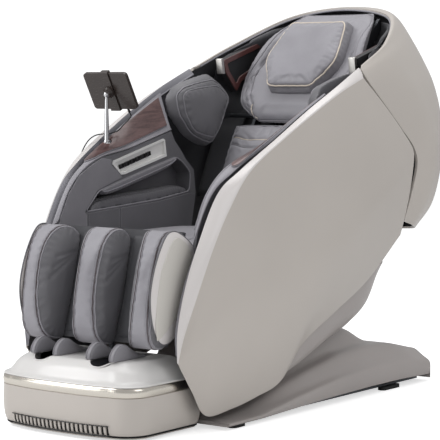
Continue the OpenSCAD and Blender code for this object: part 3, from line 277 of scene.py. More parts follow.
def apply_modifiers(obj):
    graph = bpy.context.evaluated_depsgraph_get()
    graph.update()
    mesh = bpy.data.meshes.new_from_object(obj.evaluated_get(graph))
    old = obj.data
    obj.modifiers.clear()
    obj.data = mesh
    bpy.data.meshes.remove(old)


def finish_shell(obj, node, width, segments, angle=50):
    """Rounds a shell's edges and lets it stand for its CAD node."""
    soften_edges(obj, width, segments, angle)
    apply_modifiers(obj)
    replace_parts(obj, node)


def across(direction, ref):
    """Two unit vectors square to a direction."""
    d = direction / max(1e-9, np.linalg.norm(direction))
    a = np.cross(d, ref)
    a = a / max(1e-9, np.linalg.norm(a))
    return a, np.cross(a, d)


def circle_round(centre, radius, a, b, sides):
    turns = [2 * math.pi * k / sides for k in range(sides)]
    return [centre + radius * (math.cos(w) * a + math.sin(w) * b) for w in turns]


def tube_faces(rings, sides, first=0, closed=False):
    """Faces of a tube of rings of points, with flat ends unless it is closed."""
    faces = []
    for i in range(rings if closed else rings - 1):
        near, far = first + i * sides, first + (i + 1) % rings * sides
        for k in range(sides):
            q = (k + 1) % sides
            faces.append([near + k, near + q, far + q, far + k])
    if not closed:
        faces.append([first + k for k in range(sides)][::-1])
        faces.append([first + (rings - 1) * sides + k for k in range(sides)])
    return faces


THREAD_REF = np.array([0.31, 0.17, 1.0])


def bead(name, path, radius, material, body, sides=8, closed=False, up=None):
    """Round cord of leather laid along a path of points in millimetres."""
    p = np.asarray(path, float)
    count = len(p)
    verts = []
    for i in range(count):
        if closed:
            d = p[(i + 1) % count] - p[i - 1]
        else:
            d = p[min(count - 1, i + 1)] - p[max(0, i - 1)]
        a, b = across(d, THREAD_REF if up is None else np.asarray(up[i], float))
        verts += circle_round(p[i], radius, a, b, sides)
    return new_object(name, verts, tube_faces(count, sides, closed=closed), material, body)


def stitches(name, path, body):
    """Row of separate thread stitches along a path."""
    pitch, length, radius, sides = 6.5, 4.2, 0.55, 5
    p = np.asarray(path, float)
    total = np.concatenate([[0], np.cumsum(np.linalg.norm(np.diff(p, axis=0), axis=1))])
    verts, faces = [], []
    s = pitch / 2
    while s + length < total[-1]:
        start, end = (np.array([np.interp(t, total, p[:, k]) for k in range(3)]) for t in (s, s + length))
        a, b = across(end - start, THREAD_REF)
        faces += tube_faces(3, sides, len(verts))
        for q, size in ((start, 0.45 * radius), ((start + end) / 2, radius), (end, 0.45 * radius)):
            verts += circle_round(q, size, a, b, sides)
        s += pitch
    return new_object(name, verts, faces, THREAD, body)


def mirror_copy(obj, name, body):
    """The same piece on the other side of the chair."""
    mesh = obj.data.copy()
    mesh.transform(Matrix.Scale(-1, 4, (1, 0, 0)))
    mesh.flip_normals()
    twin = place_object(name, mesh)
    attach(twin, body)
    return twin


# ---- Finishes ----------------------------------------------------------
def rgb(r, g, b):
    """Linear colour from screen values 0..255."""
    def lin(c):
        c /= 255
        return c / 12.92 if c <= 0.04045 else ((c + 0.055) / 1.055) ** 2.4
    return (lin(r), lin(g), lin(b), 1)


class Net:
    """Short way of placing and joining shader nodes in one tree.

    A socket is given by its name, with _ for a space, or as i and its number.
    """

    def __init__(self, tree):
        self.tree = tree

    def node(self, kind, settings=None, **inputs):
        n = self.tree.nodes.new(kind)
        for key, value in (settings or {}).items():
            setattr(n, key, value)
        for key, value in inputs.items():
            numbered = key[0] == "i" and key[1:].isdigit()
            self.feed(n.inputs[int(key[1:]) if numbered else key.replace("_", " ")], value)
        return n

    def feed(self, socket, value):
        if isinstance(value, bpy.types.NodeSocket):
            self.tree.links.new(value, socket)
        else:
            socket.default_value = value

    def place(self):
        """Position in the object's own frame."""
        return self.node("ShaderNodeTexCoord").outputs["Object"]

    def maths(self, operation, a, b, **settings):
        return self.node("ShaderNodeMath", {"operation": operation, **settings}, i0=a, i1=b).outputs[0]

    def remap(self, value, low, high, start, end):
        return self.node("ShaderNodeMapRange", i0=value, i1=low, i2=high, i3=start, i4=end).outputs[0]

    def noise(self, place, scale, detail, roughness, **more):
        n = self.node("ShaderNodeTexNoise", Vector=place, Scale=scale, Detail=detail, Roughness=roughness,
                      **more)
        return n.outputs[0]

    def mapping(self, place, **vectors):
        n = self.node("ShaderNodeMapping", Vector=place)
        for key, value in vectors.items():
            n.inputs[key].default_value = value
        return n.outputs[0]

    def mix(self, share, first, second, **settings):
        """One colour with a share of another in it."""
        n = self.node("ShaderNodeMix", {"data_type": "RGBA", **settings}, i0=share, i6=first, i7=second)
        return n.outputs[2]


def effect(name, inputs, outputs):
    """Empty node group with its sockets: (name, type, default) and (name, type)."""
    tree = bpy.data.node_groups.new(name, "ShaderNodeTree")
    for label, kind, default in inputs:
        socket = tree.interface.new_socket(label, in_out="INPUT", socket_type=kind)
        socket.default_value = default
    for label, kind in outputs:
        tree.interface.new_socket(label, in_out="OUTPUT", socket_type=kind)
    net = Net(tree)
    return tree, net, net.node("NodeGroupInput").outputs, net.node("NodeGroupOutput").inputs


COLOR, FLOAT = "NodeSocketColor", "NodeSocketFloat"


def build_leather_grain():
    """Pebbled hide: small cells with fine creases, and soft wrinkles over them."""
    tree, net, given, out = effect(
        "leather_grain",
        [("Cells", FLOAT, 520.0), ("Wrinkles", FLOAT, 14.0), ("Wrinkle Depth", FLOAT, 0.5)],
        [("Height", FLOAT), ("Crease", FLOAT)],
    )
    place = net.place()
    cells = net.node("ShaderNodeTexVoronoi", {"feature": "DISTANCE_TO_EDGE"}, Vector=place,
                     Scale=given["Cells"])
    crease = net.remap(cells.outputs["Distance"], 0.0, 0.12, 1.0, 0.0)
    wrinkles = net.maths("MULTIPLY", net.noise(place, given["Wrinkles"], 5.0, 0.6), given["Wrinkle Depth"])
    net.feed(out["Height"], net.maths("ADD", net.maths("MULTIPLY", crease, -0.12), wrinkles))
    net.feed(out["Crease"], crease)
    return tree


def build_tone_drift():
    """Slow change of tone over a surface, as paint and hide have."""
    tree, net, given, out = effect(
        "tone_drift",
        [("Color", COLOR, (0.5, 0.5, 0.5, 1)), ("Scale", FLOAT, 3.0), ("Amount", FLOAT, 0.08)],
        [("Color", COLOR), ("Mask", FLOAT)],
    )
    cloud = net.noise(net.place(), given["Scale"], 3.0, 0.5)
    swing = net.maths("MULTIPLY", net.remap(cloud, 0.3, 0.7, -1.0, 1.0), given["Amount"])
    shade = net.node("ShaderNodeHueSaturation", Value=net.maths("ADD", swing, 1.0), Color=given["Color"])
    net.feed(out["Color"], shade.outputs[0])
    net.feed(out["Mask"], cloud)
    return tree


DUST = (0.75, 0.73, 0.70, 1)


def build_fine_wear():
    """Hairline rubbing and a film of dust on upward faces: a colour and a roughness."""
    tree, net, given, out = effect(
        "fine_wear",
        [("Color", COLOR, (0.5, 0.5, 0.5, 1)), ("Roughness", FLOAT, 0.4), ("Rub", FLOAT, 0.1),
         ("Dust", FLOAT, 0.05)],
        [("Color", COLOR), ("Roughness", FLOAT)],
    )
    place = net.place()
    hairs = net.noise(net.mapping(place, Scale=(30, 160, 60)), 2.2, 6.0, 0.7)
    rubbed = net.maths("MULTIPLY", net.remap(hairs, 0.45, 0.75, 0.0, 1.0), given["Rub"])
    normal = net.node("ShaderNodeTexCoord").outputs["Normal"]
    upward = net.maths("MAXIMUM", net.node("ShaderNodeSeparateXYZ", i0=normal).outputs[2], 0.0)
    film = net.maths("MULTIPLY", upward, net.noise(place, 40.0, 4.0, 0.65))
    net.feed(out["Color"], net.mix(net.maths("MULTIPLY", film, given["Dust"]), given["Color"], DUST))
    net.feed(out["Roughness"], net.maths("ADD", rubbed, given["Roughness"], use_clamp=True))
    return tree


def build_wood_figure():
    """Long grain along the chair with darker bands and pores."""
    tree, net, given, out = effect(
        "wood_figure",
        [("Dark", COLOR, (0.05, 0.02, 0.02, 1)), ("Light", COLOR, (0.2, 0.1, 0.1, 1)),
         ("Bands", FLOAT, 12.0)],
        [("Color", COLOR), ("Height", FLOAT)],
    )
    grain = net.mapping(net.place(), Rotation=(math.radians(-24), 0, 0), Scale=(5, 0.55, 5))
    bands = net.noise(grain, given["Bands"], 4.0, 0.55, Distortion=0.6)
    pores = net.noise(net.mapping(grain, Scale=(60, 4, 60)), 2.0, 2.0, 0.5)
    both = net.maths("ADD", net.maths("MULTIPLY", pores, 0.35), bands)
    net.feed(out["Color"], net.mix(net.remap(both, 0.45, 0.92, 0.0, 1.0), given["Dark"], given["Light"]))
    net.feed(out["Height"], pores)
    return tree


def build_speckle():
    """Fine even speckle of moulded plastic, cast paint or knitted cloth."""
    tree, net, given, out = effect("speckle", [("Scale", FLOAT, 900.0)], [("Height", FLOAT)])
    net.feed(out["Height"], net.noise(net.place(), given["Scale"], 2.0, 0.5))
    return tree


LEATHER_GRAIN = build_leather_grain()
TONE_DRIFT = build_tone_drift()
FINE_WEAR = build_fine_wear()
WOOD_FIGURE = build_wood_figure()
SPECKLE = build_speckle()


def new_material(name):
    material = bpy.data.materials.new(name)
    material.use_nodes = True
    return material, Net(material.node_tree), material.node_tree.nodes["Principled BSDF"].inputs


def place_group(net, tree, **inputs):
    return net.node("ShaderNodeGroup", {"node_tree": tree}, **inputs).outputs


def set_values(sockets, **values):
    for key, value in values.items():
        sockets[key.replace("_", " ")].default_value = value


def bump_from(net, surface, height, distance, strength):
    bump = net.node("ShaderNodeBump", Strength=strength, Distance=distance, Height=height)
    net.feed(surface["Normal"], bump.outputs[0])


def drifting(net, color, scale, amount):
    """A colour that changes its tone slowly over the surface."""
    return place_group(net, TONE_DRIFT, Color=color, Scale=scale, Amount=amount)["Color"]


def worn(net, surface, color, rough, rub, dust):
    """Feeds a colour and a roughness with rubbing and dust over them, and gives the colour."""
    wear = place_group(net, FINE_WEAR, Color=color, Roughness=rough, Rub=rub, Dust=dust)
    net.feed(surface["Base Color"], wear["Color"])
    net.feed(surface["Roughness"], wear["Roughness"])
    return wear["Color"]


def speckled(net, surface, grit, depth, strength):
    bump_from(net, surface, place_group(net, SPECKLE, Scale=grit)["Height"], depth, strength)


CREASE_SHADE = (0.45, 0.45, 0.48, 1)


def leather(name, color, rough=0.46, wrinkles=14.0, depth=0.5):
    material, net, surface = new_material(name)
    hide = worn(net, surface, drifting(net, color, 7.0, 0.1), rough, 0.08, 0.05)
    grain = place_group(net, LEATHER_GRAIN, Wrinkles=wrinkles, Wrinkle_Depth=depth)
    share = net.maths("MULTIPLY", grain["Crease"], 0.22)
    net.feed(surface["Base Color"], net.mix(share, hide, CREASE_SHADE, blend_type="MULTIPLY"))
    set_values(surface, Sheen_Weight=0.12, Sheen_Roughness=0.45, Specular_IOR_Level=0.42)
    bump_from(net, surface, grain["Height"], 0.0011, 0.5)
    return material


def lacquer(name, color, rough=0.3, coat=0.35, coat_rough=0.12):
    """Sprayed satin or gloss finish on a moulded shell."""
    material, net, surface = new_material(name)
    worn(net, surface, drifting(net, color, 2.2, 0.035), rough, 0.05, 0.04)
    set_values(surface, Coat_Weight=coat, Coat_Roughness=coat_rough)
    speckled(net, surface, 700.0, 0.00012, 0.35)
    return material


def metal(name, color, rough, rub, depth=0.00003):
    material, net, surface = new_material(name)
    worn(net, surface, color, rough, rub, 0.02)
    set_values(surface, Metallic=1.0)
    speckled(net, surface, 1200.0, depth, 0.4)
    return material


def plastic(name, color, rough, grit=900.0, depth=0.0002, rub=0.08):
    material, net, surface = new_material(name)
    worn(net, surface, drifting(net, color, 9.0, 0.06), rough, rub, 0.05)
    speckled(net, surface, grit, depth, 0.6)
    return material


def veneer(name, dark, light):
    material, net, surface = new_material(name)
    figure = place_group(net, WOOD_FIGURE, Dark=dark, Light=light)
    worn(net, surface, figure["Color"], 0.3, 0.08, 0.03)
    set_values(surface, Coat_Weight=0.4, Coat_Roughness=0.12)
    bump_from(net, surface, figure["Height"], 0.0002, 0.35)
    return material


SHELL = lacquer("pearl_shell", rgb(199, 192, 185), rough=0.36, coat=0.3, coat_rough=0.16)
SHELL_LOW = lacquer("pearl_shell_shaded", rgb(176, 169, 166), rough=0.38, coat=0.25, coat_rough=0.18)
RIM = lacquer("rim_white", rgb(226, 221, 219), rough=0.32)
DECK = lacquer("deck_white", rgb(224, 222, 220), rough=0.34)
HIDE = leather("grey_hide", rgb(154, 152, 158))
# Darker copy of the grey hide: painted shade for the sides, walls and seams it is given to.
HIDE_SHADED = leather("grey_hide_shaded", rgb(142, 140, 145), rough=0.42)
HIDE_DARK = leather("dark_hide", rgb(112, 111, 115), rough=0.42, wrinkles=9.0, depth=0.8)
HIDE_FOLD = leather("fold_hide", rgb(106, 105, 109), rough=0.36, wrinkles=22.0, depth=1.1)
LINER = leather("liner_cloth", rgb(74, 74, 78), rough=0.6, depth=0.3)
EDGE_GREY = plastic("edge_grey", rgb(150, 149, 156), rough=0.5)
CORD_CREAM = plastic("cord_cream", rgb(226, 214, 198), rough=0.6, grit=1600.0)
CORD_GREY = leather("cord_grey", rgb(148, 146, 152), rough=0.4, depth=0.2)
THREAD = plastic("thread", rgb(176, 174, 178), rough=0.7, grit=2400.0)
WOOD = veneer("walnut_veneer", rgb(62, 36, 36), rgb(118, 88, 86))
CHROME = metal("chrome", rgb(214, 214, 216), rough=0.08, rub=0.06)
SILVER = metal("satin_silver", rgb(206, 204, 200), rough=0.3, rub=0.1)
CHAMPAGNE = metal("champagne_trim", rgb(222, 216, 206), rough=0.2, rub=0.08)
TRAY_WHITE = lacquer("tray_white", rgb(238, 237, 235), rough=0.3)
STEEL = metal("painted_steel", rgb(96, 98, 102), rough=0.45, rub=0.2, depth=0.0002)
RUBBER = plastic("black_rubber", rgb(26, 26, 27), rough=0.7, depth=0.0004)
BLACK = plastic("black_gloss", rgb(22, 21, 22), rough=0.22, depth=0.00005)
TABLET_BACK = plastic("brown_black", rgb(58, 50, 47), rough=0.24, depth=0.00002)
GRILLE = plastic("grille_black", rgb(38, 38, 40), rough=0.5, depth=0.0004)
RED = plastic("rocker_red", rgb(140, 20, 22), rough=0.3)
SCREEN = plastic("dark_glass", rgb(14, 16, 20), rough=0.08, depth=0.00001, rub=0.04)
ROLLER = plastic("roller_rubber", rgb(70, 70, 74), rough=0.55)
CAP_GREY = lacquer("cap_grey", rgb(214, 210, 203), rough=0.4, coat=0.2)
SEAM_BROWN = plastic("seam_brown", rgb(74, 60, 60), rough=0.6)
# Near-black used as painted shade behind the grille and in the trim gap, and on the foot box floor.
DARK_SLOT = plastic("slot_black", rgb(12, 12, 13), rough=0.8)
REDWOOD = lacquer("redwood_lacquer", rgb(92, 58, 56), rough=0.3, coat=0.4)


def dress(material, *nodes):
    """Gives CAD nodes, whose shape is right, their finish."""
    for name in nodes:
        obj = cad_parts[name]
        obj.data.materials.clear()
        obj.data.materials.append(material)


# ---- Leather pads ------------------------------------------------------
def swell(x, power=3.2):
    return np.sqrt(np.maximum(0.0, 1 - np.abs(2 * np.asarray(x) - 1) ** power))


def spread(n):
    return 0.5 - 0.5 * np.cos(math.pi * np.arange(n + 1) / n)


class Pad:
    """Pad over a surface of control rows; side is the way its crown faces."""

    def __init__(self, rows, edge, crown, side=-1, roll=10):
        self.rows = np.array(rows, float)
        self.edge, self.crown, self.side, self.roll = edge, crown, side, roll

    def base(self, u, v):
        m, n = self.rows.shape[:2]
        return np.einsum("am,mnk,an->ak", weights(m, u), self.rows, weights(n, v))

    def facing(self, u, v):
        h = 0.004
        u, v = np.atleast_1d(u), np.atleast_1d(v)
        du = self.base(np.minimum(1, u + h), v) - self.base(np.maximum(0, u - h), v)
        dv = self.base(u, np.minimum(1, v + h)) - self.base(u, np.maximum(0, v - h))
        n = np.cross(du, dv)
        return self.side * n / np.maximum(1e-9, np.linalg.norm(n, axis=1, keepdims=True))

    def height(self, u, v):
        roll = np.maximum(0.35, swell(u, self.roll) * swell(v, self.roll))
        return self.edge * roll + self.crown * swell(u) * swell(v)

    def top(self, u, v):
        return self.base(u, v) + self.facing(u, v) * np.atleast_1d(self.height(u, v))[:, None]

    def solid(self, nu=36, nv=36):
        u, v = (g.ravel() for g in np.meshgrid(spread(nu), spread(nv), indexing="ij"))
        shape = (nu + 1, nv + 1, 3)
        return self.base(u, v).reshape(shape), self.top(u, v).reshape(shape)

    def ways_out(self, uv):
        """Points on the crown and the directions out of it, at rows of (u, v)."""
        return self.top(uv[:, 0], uv[:, 1]), self.facing(uv[:, 0], uv[:, 1])

    def seam(self, points, count=60):
        """Start points and outward directions along a line of (u, v) pairs."""
        return self.ways_out(np.clip(line(points, count), 0.004, 0.996))


def coordinates(mesh):
    co = np.empty(len(mesh.vertices) * 3)
    mesh.vertices.foreach_get("co", co)
    return co.reshape(-1, 3)


def relax(obj, rounds, keep):
    """Rounds a mesh by moving each point towards its neighbours, with the kept points held."""
    mesh = obj.data
    co = coordinates(mesh)
    edges = np.empty(len(mesh.edges) * 2, int)
    mesh.edges.foreach_get("vertices", edges)
    edges = edges.reshape(-1, 2)
    count = np.bincount(edges.ravel(), minlength=len(co)).astype(float)[:, None]
    free = ~keep
    for _ in range(rounds):
        total = np.zeros_like(co)
        np.add.at(total, edges[:, 0], co[edges[:, 1]])
        np.add.at(total, edges[:, 1], co[edges[:, 0]])
        mean = total / np.maximum(count, 1)
        co[free] += 0.5 * (mean - co)[free]
    mesh.vertices.foreach_set("co", co.ravel())
    mesh.update()


CLOTH = {"quality": 4, "mass": 0.3, "tension_stiffness": 12, "compression_stiffness": 12,
         "bending_stiffness": 0.4, "use_pressure": True}
CLOTH_STEPS = 20


def blow_up(obj, keep, cap, pressure):
    """Lets cloth swell a pad by its inner pressure, each point by cap millimetres at most."""
    before = coordinates(obj.data).copy()
    group = obj.vertex_groups.new(name="held")
    group.add([int(i) for i in np.nonzero(keep)[0]], 1.0, "REPLACE")
    cloth = obj.modifiers.new("cloth", "CLOTH")
    for key, value in CLOTH.items():
        setattr(cloth.settings, key, value)
    cloth.settings.uniform_pressure_force = pressure
    cloth.settings.effector_weights.gravity = 0
    cloth.settings.vertex_group_mass = "held"
    cloth.collision_settings.use_collision = False
    cloth.point_cache.frame_start = 1
    cloth.point_cache.frame_end = CLOTH_STEPS
    for step in range(1, CLOTH_STEPS + 1):
        bpy.context.scene.frame_set(step)
    graph = bpy.context.evaluated_depsgraph_get()
    blown = bpy.data.meshes.new_from_object(obj.evaluated_get(graph))
    move = coordinates(blown) - before
    bpy.data.meshes.remove(blown)
    obj.modifiers.clear()
    bpy.context.scene.frame_set(1)
    far = np.linalg.norm(move, axis=1, keepdims=True)
    move *= np.minimum(1.0, cap * MM / np.maximum(far, 1e-9))
    obj.data.vertices.foreach_set("co", (before + move).ravel())
    obj.data.update()


def stuffed(name, verts, faces, seat, voxel, cap, pressure, rounds):
    """Leather over foam: remeshed, blown up by cloth with its seat held, and refined."""
    obj = bare_object(name, verts, faces, turn_out=True)
    remesh = obj.modifiers.new("voxels", "REMESH")
    remesh.mode = "VOXEL"
    remesh.voxel_size = voxel * MM
    apply_modifiers(obj)
    tree = BVHTree.FromPolygons([tuple(p) for p in seat.reshape(-1, 3) * MM], skin_faces(*seat.shape[:2]))
    reach = voxel * 0.75 * MM
    keep = np.array([tree.find_nearest(v.co, reach)[0] is not None for v in obj.data.vertices])
    relax(obj, rounds, keep)
    blow_up(obj, keep, cap, pressure)
    relax(obj, 2, keep)
    sub = obj.modifiers.new("refine", "SUBSURF")
    sub.levels = sub.render_levels = 1
    apply_modifiers(obj)
    obj.data.polygons.foreach_set("use_smooth", [True] * len(obj.data.polygons))
    return obj


REACH = 60.0


def land(obj, starts, directions):
    """Where a line of points meets the outside of a pad: points and surface normals."""
    bm = bmesh.new()
    bm.from_mesh(obj.data)
    tree = BVHTree.FromBMesh(bm)
    bm.free()
    points, normals = [], []
    for p, d in zip(starts, directions):
        d = Vector(d).normalized()
        hit = tree.ray_cast(Vector(p) * MM + d * REACH * MM, -d)
        if hit[0] is None:
            hit = tree.find_nearest(Vector(p) * MM)
        points.append(np.array(hit[0]) / MM)
        normals.append(np.array(hit[1]))
    return np.array(points), np.array(normals)


def point_tree(points):
    tree = KDTree(len(points))
    for i, p in enumerate(points):
        tree.insert(p, i)
    tree.balance()
    return tree


def near_points(obj, lines, reach):
    """Points of a mesh within reach of some lines: index, distance and length along them."""
    paths = [densify(p, 1.5) for p in lines]
    pts = np.concatenate(paths)
    along = np.concatenate([np.arange(len(p)) * 1.5 for p in paths])
    tree = point_tree(pts)
    co = coordinates(obj.data)
    box = np.all((co > (pts.min(0) - reach) * MM) & (co < (pts.max(0) + reach) * MM), axis=1)
    found = []
    for i in np.nonzero(box)[0]:
        _, k, d = tree.find(co[i] / MM)
        if d < reach:
            found.append((i, d, along[k]))
    normals = np.empty(len(co) * 3)
    obj.data.vertices.foreach_get("normal", normals)
    if not found:
        return co, normals.reshape(-1, 3), np.zeros(0, int), np.zeros(0), np.zeros(0)
    index, far, length = (np.array(c) for c in zip(*found))
    return co, normals.reshape(-1, 3), index.astype(int), far, length


def groove(obj, lines, depth, width):
    """Presses sewn lines into a pad."""
    co, normals, index, far, _ = near_points(obj, lines, 2.6 * width)
    co[index] -= normals[index] * (depth * MM * np.exp(-((far / width) ** 2)))[:, None]
    obj.data.vertices.foreach_set("co", co.ravel())
    obj.data.update()


def densify(path, step):
    p = np.asarray(path, float)
    out = [p[0]]
    for a, b in zip(p[:-1], p[1:]):
        n = max(1, int(np.linalg.norm(b - a) / step))
        out += [a + (b - a) * k / n for k in range(1, n + 1)]
    return np.array(out)


def pucker(obj, lines, pitch, depth, width):
    """Short pulls of the leather that run away from a sewn line."""
    co, normals, index, far, length = near_points(obj, lines, 2 * width)
    wave = np.sin(length / pitch * 2 * math.pi + 1.7 * np.sin(length / 41.0))
    lift = depth * MM * wave * (far / width) * np.exp(1 - (far / width) ** 2) * 0.6
    co[index] += normals[index] * lift[:, None]
    obj.data.vertices.foreach_set("co", co.ravel())
    obj.data.update()


def finish_pad(obj, material, body, nodes=()):
    obj.data.materials.clear()
    obj.data.materials.append(material)
    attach(obj, body)
    if nodes:
        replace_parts(obj, *nodes)
    return obj


def pad_piece(name, pad, material, body, nodes=(), voxel=5.0, cap=6.0, rounds=6):
    low, high = pad.solid()
    verts, faces = shell_between(high, low)
    obj = stuffed(name, verts, faces, low, voxel, cap, 4.0, rounds)
    return finish_pad(obj, material, body, nodes)


def piping(obj, name, starts, ways, radius, material, body, lift, press=None, closed=False):
    """Cord along a line of a pad, pressed in first where press is (depth, width)."""
    path, normals = land(obj, starts, ways)
    if press:
        groove(obj, [path], *press)
        path, normals = land(obj, starts, ways)
    bead(name, path + normals * lift, radius, material, body, closed=closed, up=normals)
    return path, normals


def closed_seam(pad, corners, radius, steps):
    """Start points and outward directions of a closed seam through rounded (u, v) corners."""
    loop = corner_round([np.array(p) * 100 for p in corners], radius, steps)
    return pad.ways_out(densify([[q[0], q[1], 0] for q in loop + loop[:1]], 2.4)[:-1] / 100)


def sewn_line(name, obj, pad, points, material, body, radius, depth, width, count=60, stitch=0.0):
    """One seam of a pad: pressed in, with a piping bead in it and stitches beside it."""
    starts, ways = pad.seam(points, count)
    path, normals = piping(obj, name, starts, ways, radius, material, body, 0.35 * radius, (depth, width))
    if stitch:
        side = np.cross(np.gradient(path, axis=0), normals)
        side /= np.maximum(np.linalg.norm(side, axis=1, keepdims=True), 1e-9)
        stitches(name + "_thread", path + side * stitch + normals * 0.9, body)


# ---- Shells ------------------------------------------------------------
RIM_LINE = [[HW - 117, -598, 200], [HW - 114, -600, 285], [HW - 111, -572, 395], [HW - 109, -522, 503],
            [HW - 104, -440, 640], [HW - 90, -352, 705], [HW - 75, -205, 787], [HW - 68, -60, 864],
            [HW - 64, 80, 930], [HW - 72, 212, 987]]
FOLD_LINE = [[HW - 115, -596, 197], [HW - 108, -578, 270], [HW - 94, -540, 372], [HW - 80, -486, 500],
             [HW - 72, -425, 602], [HW - 64, -340, 705], [HW - 52, -190, 794], [HW - 44, -40, 868],
             [HW - 42, 82, 920], [HW - 46, 196, 956]]
CREASE_LINE = [[HW - 114, -594, 193], [HW - 84, -545, 222], [HW - 58, -470, 248], [HW - 38, -385, 280],
               [HW - 20, -270, 336], [HW - 7, -130, 408], [HW, 20, 482], [HW, 170, 565], [HW - 6, 320, 650],
               [HW - 20, 450, 736]]
LOWER_LINE = [[HW - 116, -590, 188], [HW - 108, -545, 115], [HW - 102, -493, 45], [HW - 86, -400, 52],
              [HW - 74, -298, 73], [HW - 68, -190, 104], [HW - 64, -85, 200], [HW - 60, 70, 272],
              [HW - 58, 250, 355], [HW - 48, 415, 478]]
SHELL_T, RIM_W, PAN_T, GAP_SHADE_T, LINING_T = 9, 22, 6, 4, 6
EX = np.array([1.0, 0, 0])


def panel_row(s, ts):
    r, f, c, w = (curve(k, s) for k in (RIM_LINE, FOLD_LINE, CREASE_LINE, LOWER_LINE))
    k = min(1, 6 * s) * (1 - 0.4 * s)
    out = []
    for t in ts:
        if t <= 3:
            out.append(r + (f - r) * t / 3 + EX * 2.5 * k * t * (3 - t))
        elif t <= 8:
            out.append(f + (c - f) * (t - 3) / 5 + EX * 2.2 * k * (t - 3) * (8 - t))
        else:
            bow = k * (t - 8) * (12 - t)
            out.append(c + (w - c) * (t - 8) / 4 + np.array([2.4 * bow, 1.6 * bow, 0]))
    return out


def make_side_shell():
    """Pearl side panel with a pale folded rim above and a faceted lower half."""
    s_steps, ts = 120, np.linspace(0, 12, 73)
    outer = np.array([panel_row(i / s_steps, ts) for i in range(s_steps + 1)])
    outer = smooth_rows(outer, 6, 1)
    walls = np.interp(ts, [0.5, 2.0], [RIM_W, SHELL_T])
    fade = np.minimum(1, 0.35 + 4 * np.arange(s_steps + 1) / s_steps)
    inner = outer + grid_normals(outer) * (fade[:, None] * walls[None, :])[:, :, None]
    obj = sheet("side_panel_left", outer, inner, SHELL, "pod")
    for material in (RIM, EDGE_GREY, LINER):
        obj.data.materials.append(material)
    wide, long = len(ts) - 1, s_steps
    rim, edge, lining = 1, 2, 3
    slots = np.zeros(len(obj.data.polygons), int)
    slots[:long * wide] = np.where(np.tile(ts[1:] <= 2.9, long), rim, 0)
    slots[long * wide:2 * long * wide] = np.where(np.tile(ts[1:] <= 4.5, long), edge, lining)
    slots[2 * long * wide:2 * long * wide + 2 * long:2] = edge
    set_slots(obj, slots)
    finish_shell(obj, "side_shell_left", 0.0022, 3)
    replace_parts(mirror_copy(obj, "side_panel_right", "pod"), "side_shell_right")
    lip = inner[3:, 0] + np.array([1.5, 0, -1.0])
    for side, tag in SIDES:
        bead("rim_lip_" + tag, lip * np.array([side, 1, 1]), 3.2, EDGE_GREY, "pod", sides=10)


REAR_ROWS = [
    [[HW - 40, 424, 520], [HW - 44, 490, 500], [HW - 112, 552, 486], [0, 598, 478]],
    [[HW - 30, 448, 600], [HW - 24, 540, 575], [HW - 92, 625, 560], [0, 660, 556]],
    [[HW - 22, 470, 690], [HW - 20, 580, 672], [HW - 90, 676, 668], [0, 718, 668]],
    [[HW - 24, 452, 745], [HW - 20, 590, 760], [HW - 92, 700, 770], [0, 752, 780]],
    [[HW - 28, 384, 805], [HW - 26, 560, 840], [HW - 100, 706, 862], [0, 778, 872]],
    [[HW - 34, 308, 870], [HW - 38, 510, 920], [HW - 114, 696, 950], [0, 781, 950]],
    [[HW - 42, 240, 930], [HW - 56, 450, 985], [HW - 134, 672, 1022], [0, 760, 1024]],
    [[HW - 54, 216, 965], [HW - 76, 430, 1035], [HW - 160, 650, 1084], [0, 728, 1090]],
    [[HW - 68, 220, 984], [HW - 92, 420, 1058], [HW - 186, 632, 1136], [0, 704, 1150]],
    [[HW - 74, 228, 991], [HW - 98, 412, 1067], [HW - 200, 606, 1160], [0, 664, 1186]],
    [[HW - 80, 236, 993], [HW - 104, 404, 1064], [HW - 202, 580, 1154], [0, 612, 1184]]]


def make_rear_shell():
    """Hooded back of the chair, one bowl that carries the crown above the head."""
    along, across_steps = 72, 120
    outer = patch([mirrored_row(r) for r in REAR_ROWS], along, across_steps)
    inner = outer - grid_normals(outer) * SHELL_T
    obj = sheet("rear_hood", outer, inner, SHELL, "backrest")
    obj.data.materials.append(LINER)
    slots = np.zeros(len(obj.data.polygons), int)
    slots[along * across_steps:2 * along * across_steps] = 1
    set_slots(obj, slots)
    finish_shell(obj, "rear_shell", 0.0025, 3)
    lip = inner[-1, 2:-2] + np.array([0, -1.0, 1.0])
    bead("hood_lip", lip, 3.0, EDGE_GREY, "backrest", sides=10)


PAN_ROWS = [
    [[HW - 92, -430, 150], [HW - 82, -170, 178], [HW - 77, 100, 352], [HW - 94, 388, 398], [0, 520, 428]],
    [[HW - 98, -430, 110], [HW - 86, -160, 150], [HW - 80, 100, 270], [HW - 104, 370, 365], [0, 482, 367]],
    [[HW - 112, -425, 84], [HW - 98, -150, 112], [HW - 96, 110, 206], [HW - 124, 345, 290], [0, 438, 310]],
    [[HW - 142, -420, 76], [HW - 132, -140, 104], [HW - 128, 125, 178], [HW - 162, 320, 236],
     [0, 380, 240]]]


def make_under_shell():
    outer = patch([mirrored_row(r) for r in PAN_ROWS], 36, 120)
    inner = outer + grid_normals(outer) * PAN_T
    obj = sheet("under_pan", outer, inner, SHELL_LOW, "pod")
    finish_shell(obj, "under_shell", 0.0015, 2)


# ---- Base cover ---------------------------------------------------------
BASE_HALF, BASE_T, FOOT_H, NECK_Z, NECK_HALF = 330, 5, 9, 192, 200
BASE_FRONT, BASE_BACK, END_T = -445, 625, 4
LOW_Z = [[-445, 18], [-277, 20], [-86, 48], [97, 68], [290, 80], [452, 79], [622, 62]]
MID_Z = [[-445, 20], [-295, 24], [-112, 50], [105, 77], [258, 92], [526, 96], [622, 78]]
TOP_Z = [[-445, 22], [-285, 34], [-140, 69], [2, 100], [173, 129], [328, 141], [480, 132], [622, 100]]


def lookup(y, table):
    return float(np.interp(y, [p[0] for p in table], [p[1] for p in table]))


def ramp(x):
    t = min(1, max(0, x))
    return t * t * (3 - 2 * t)


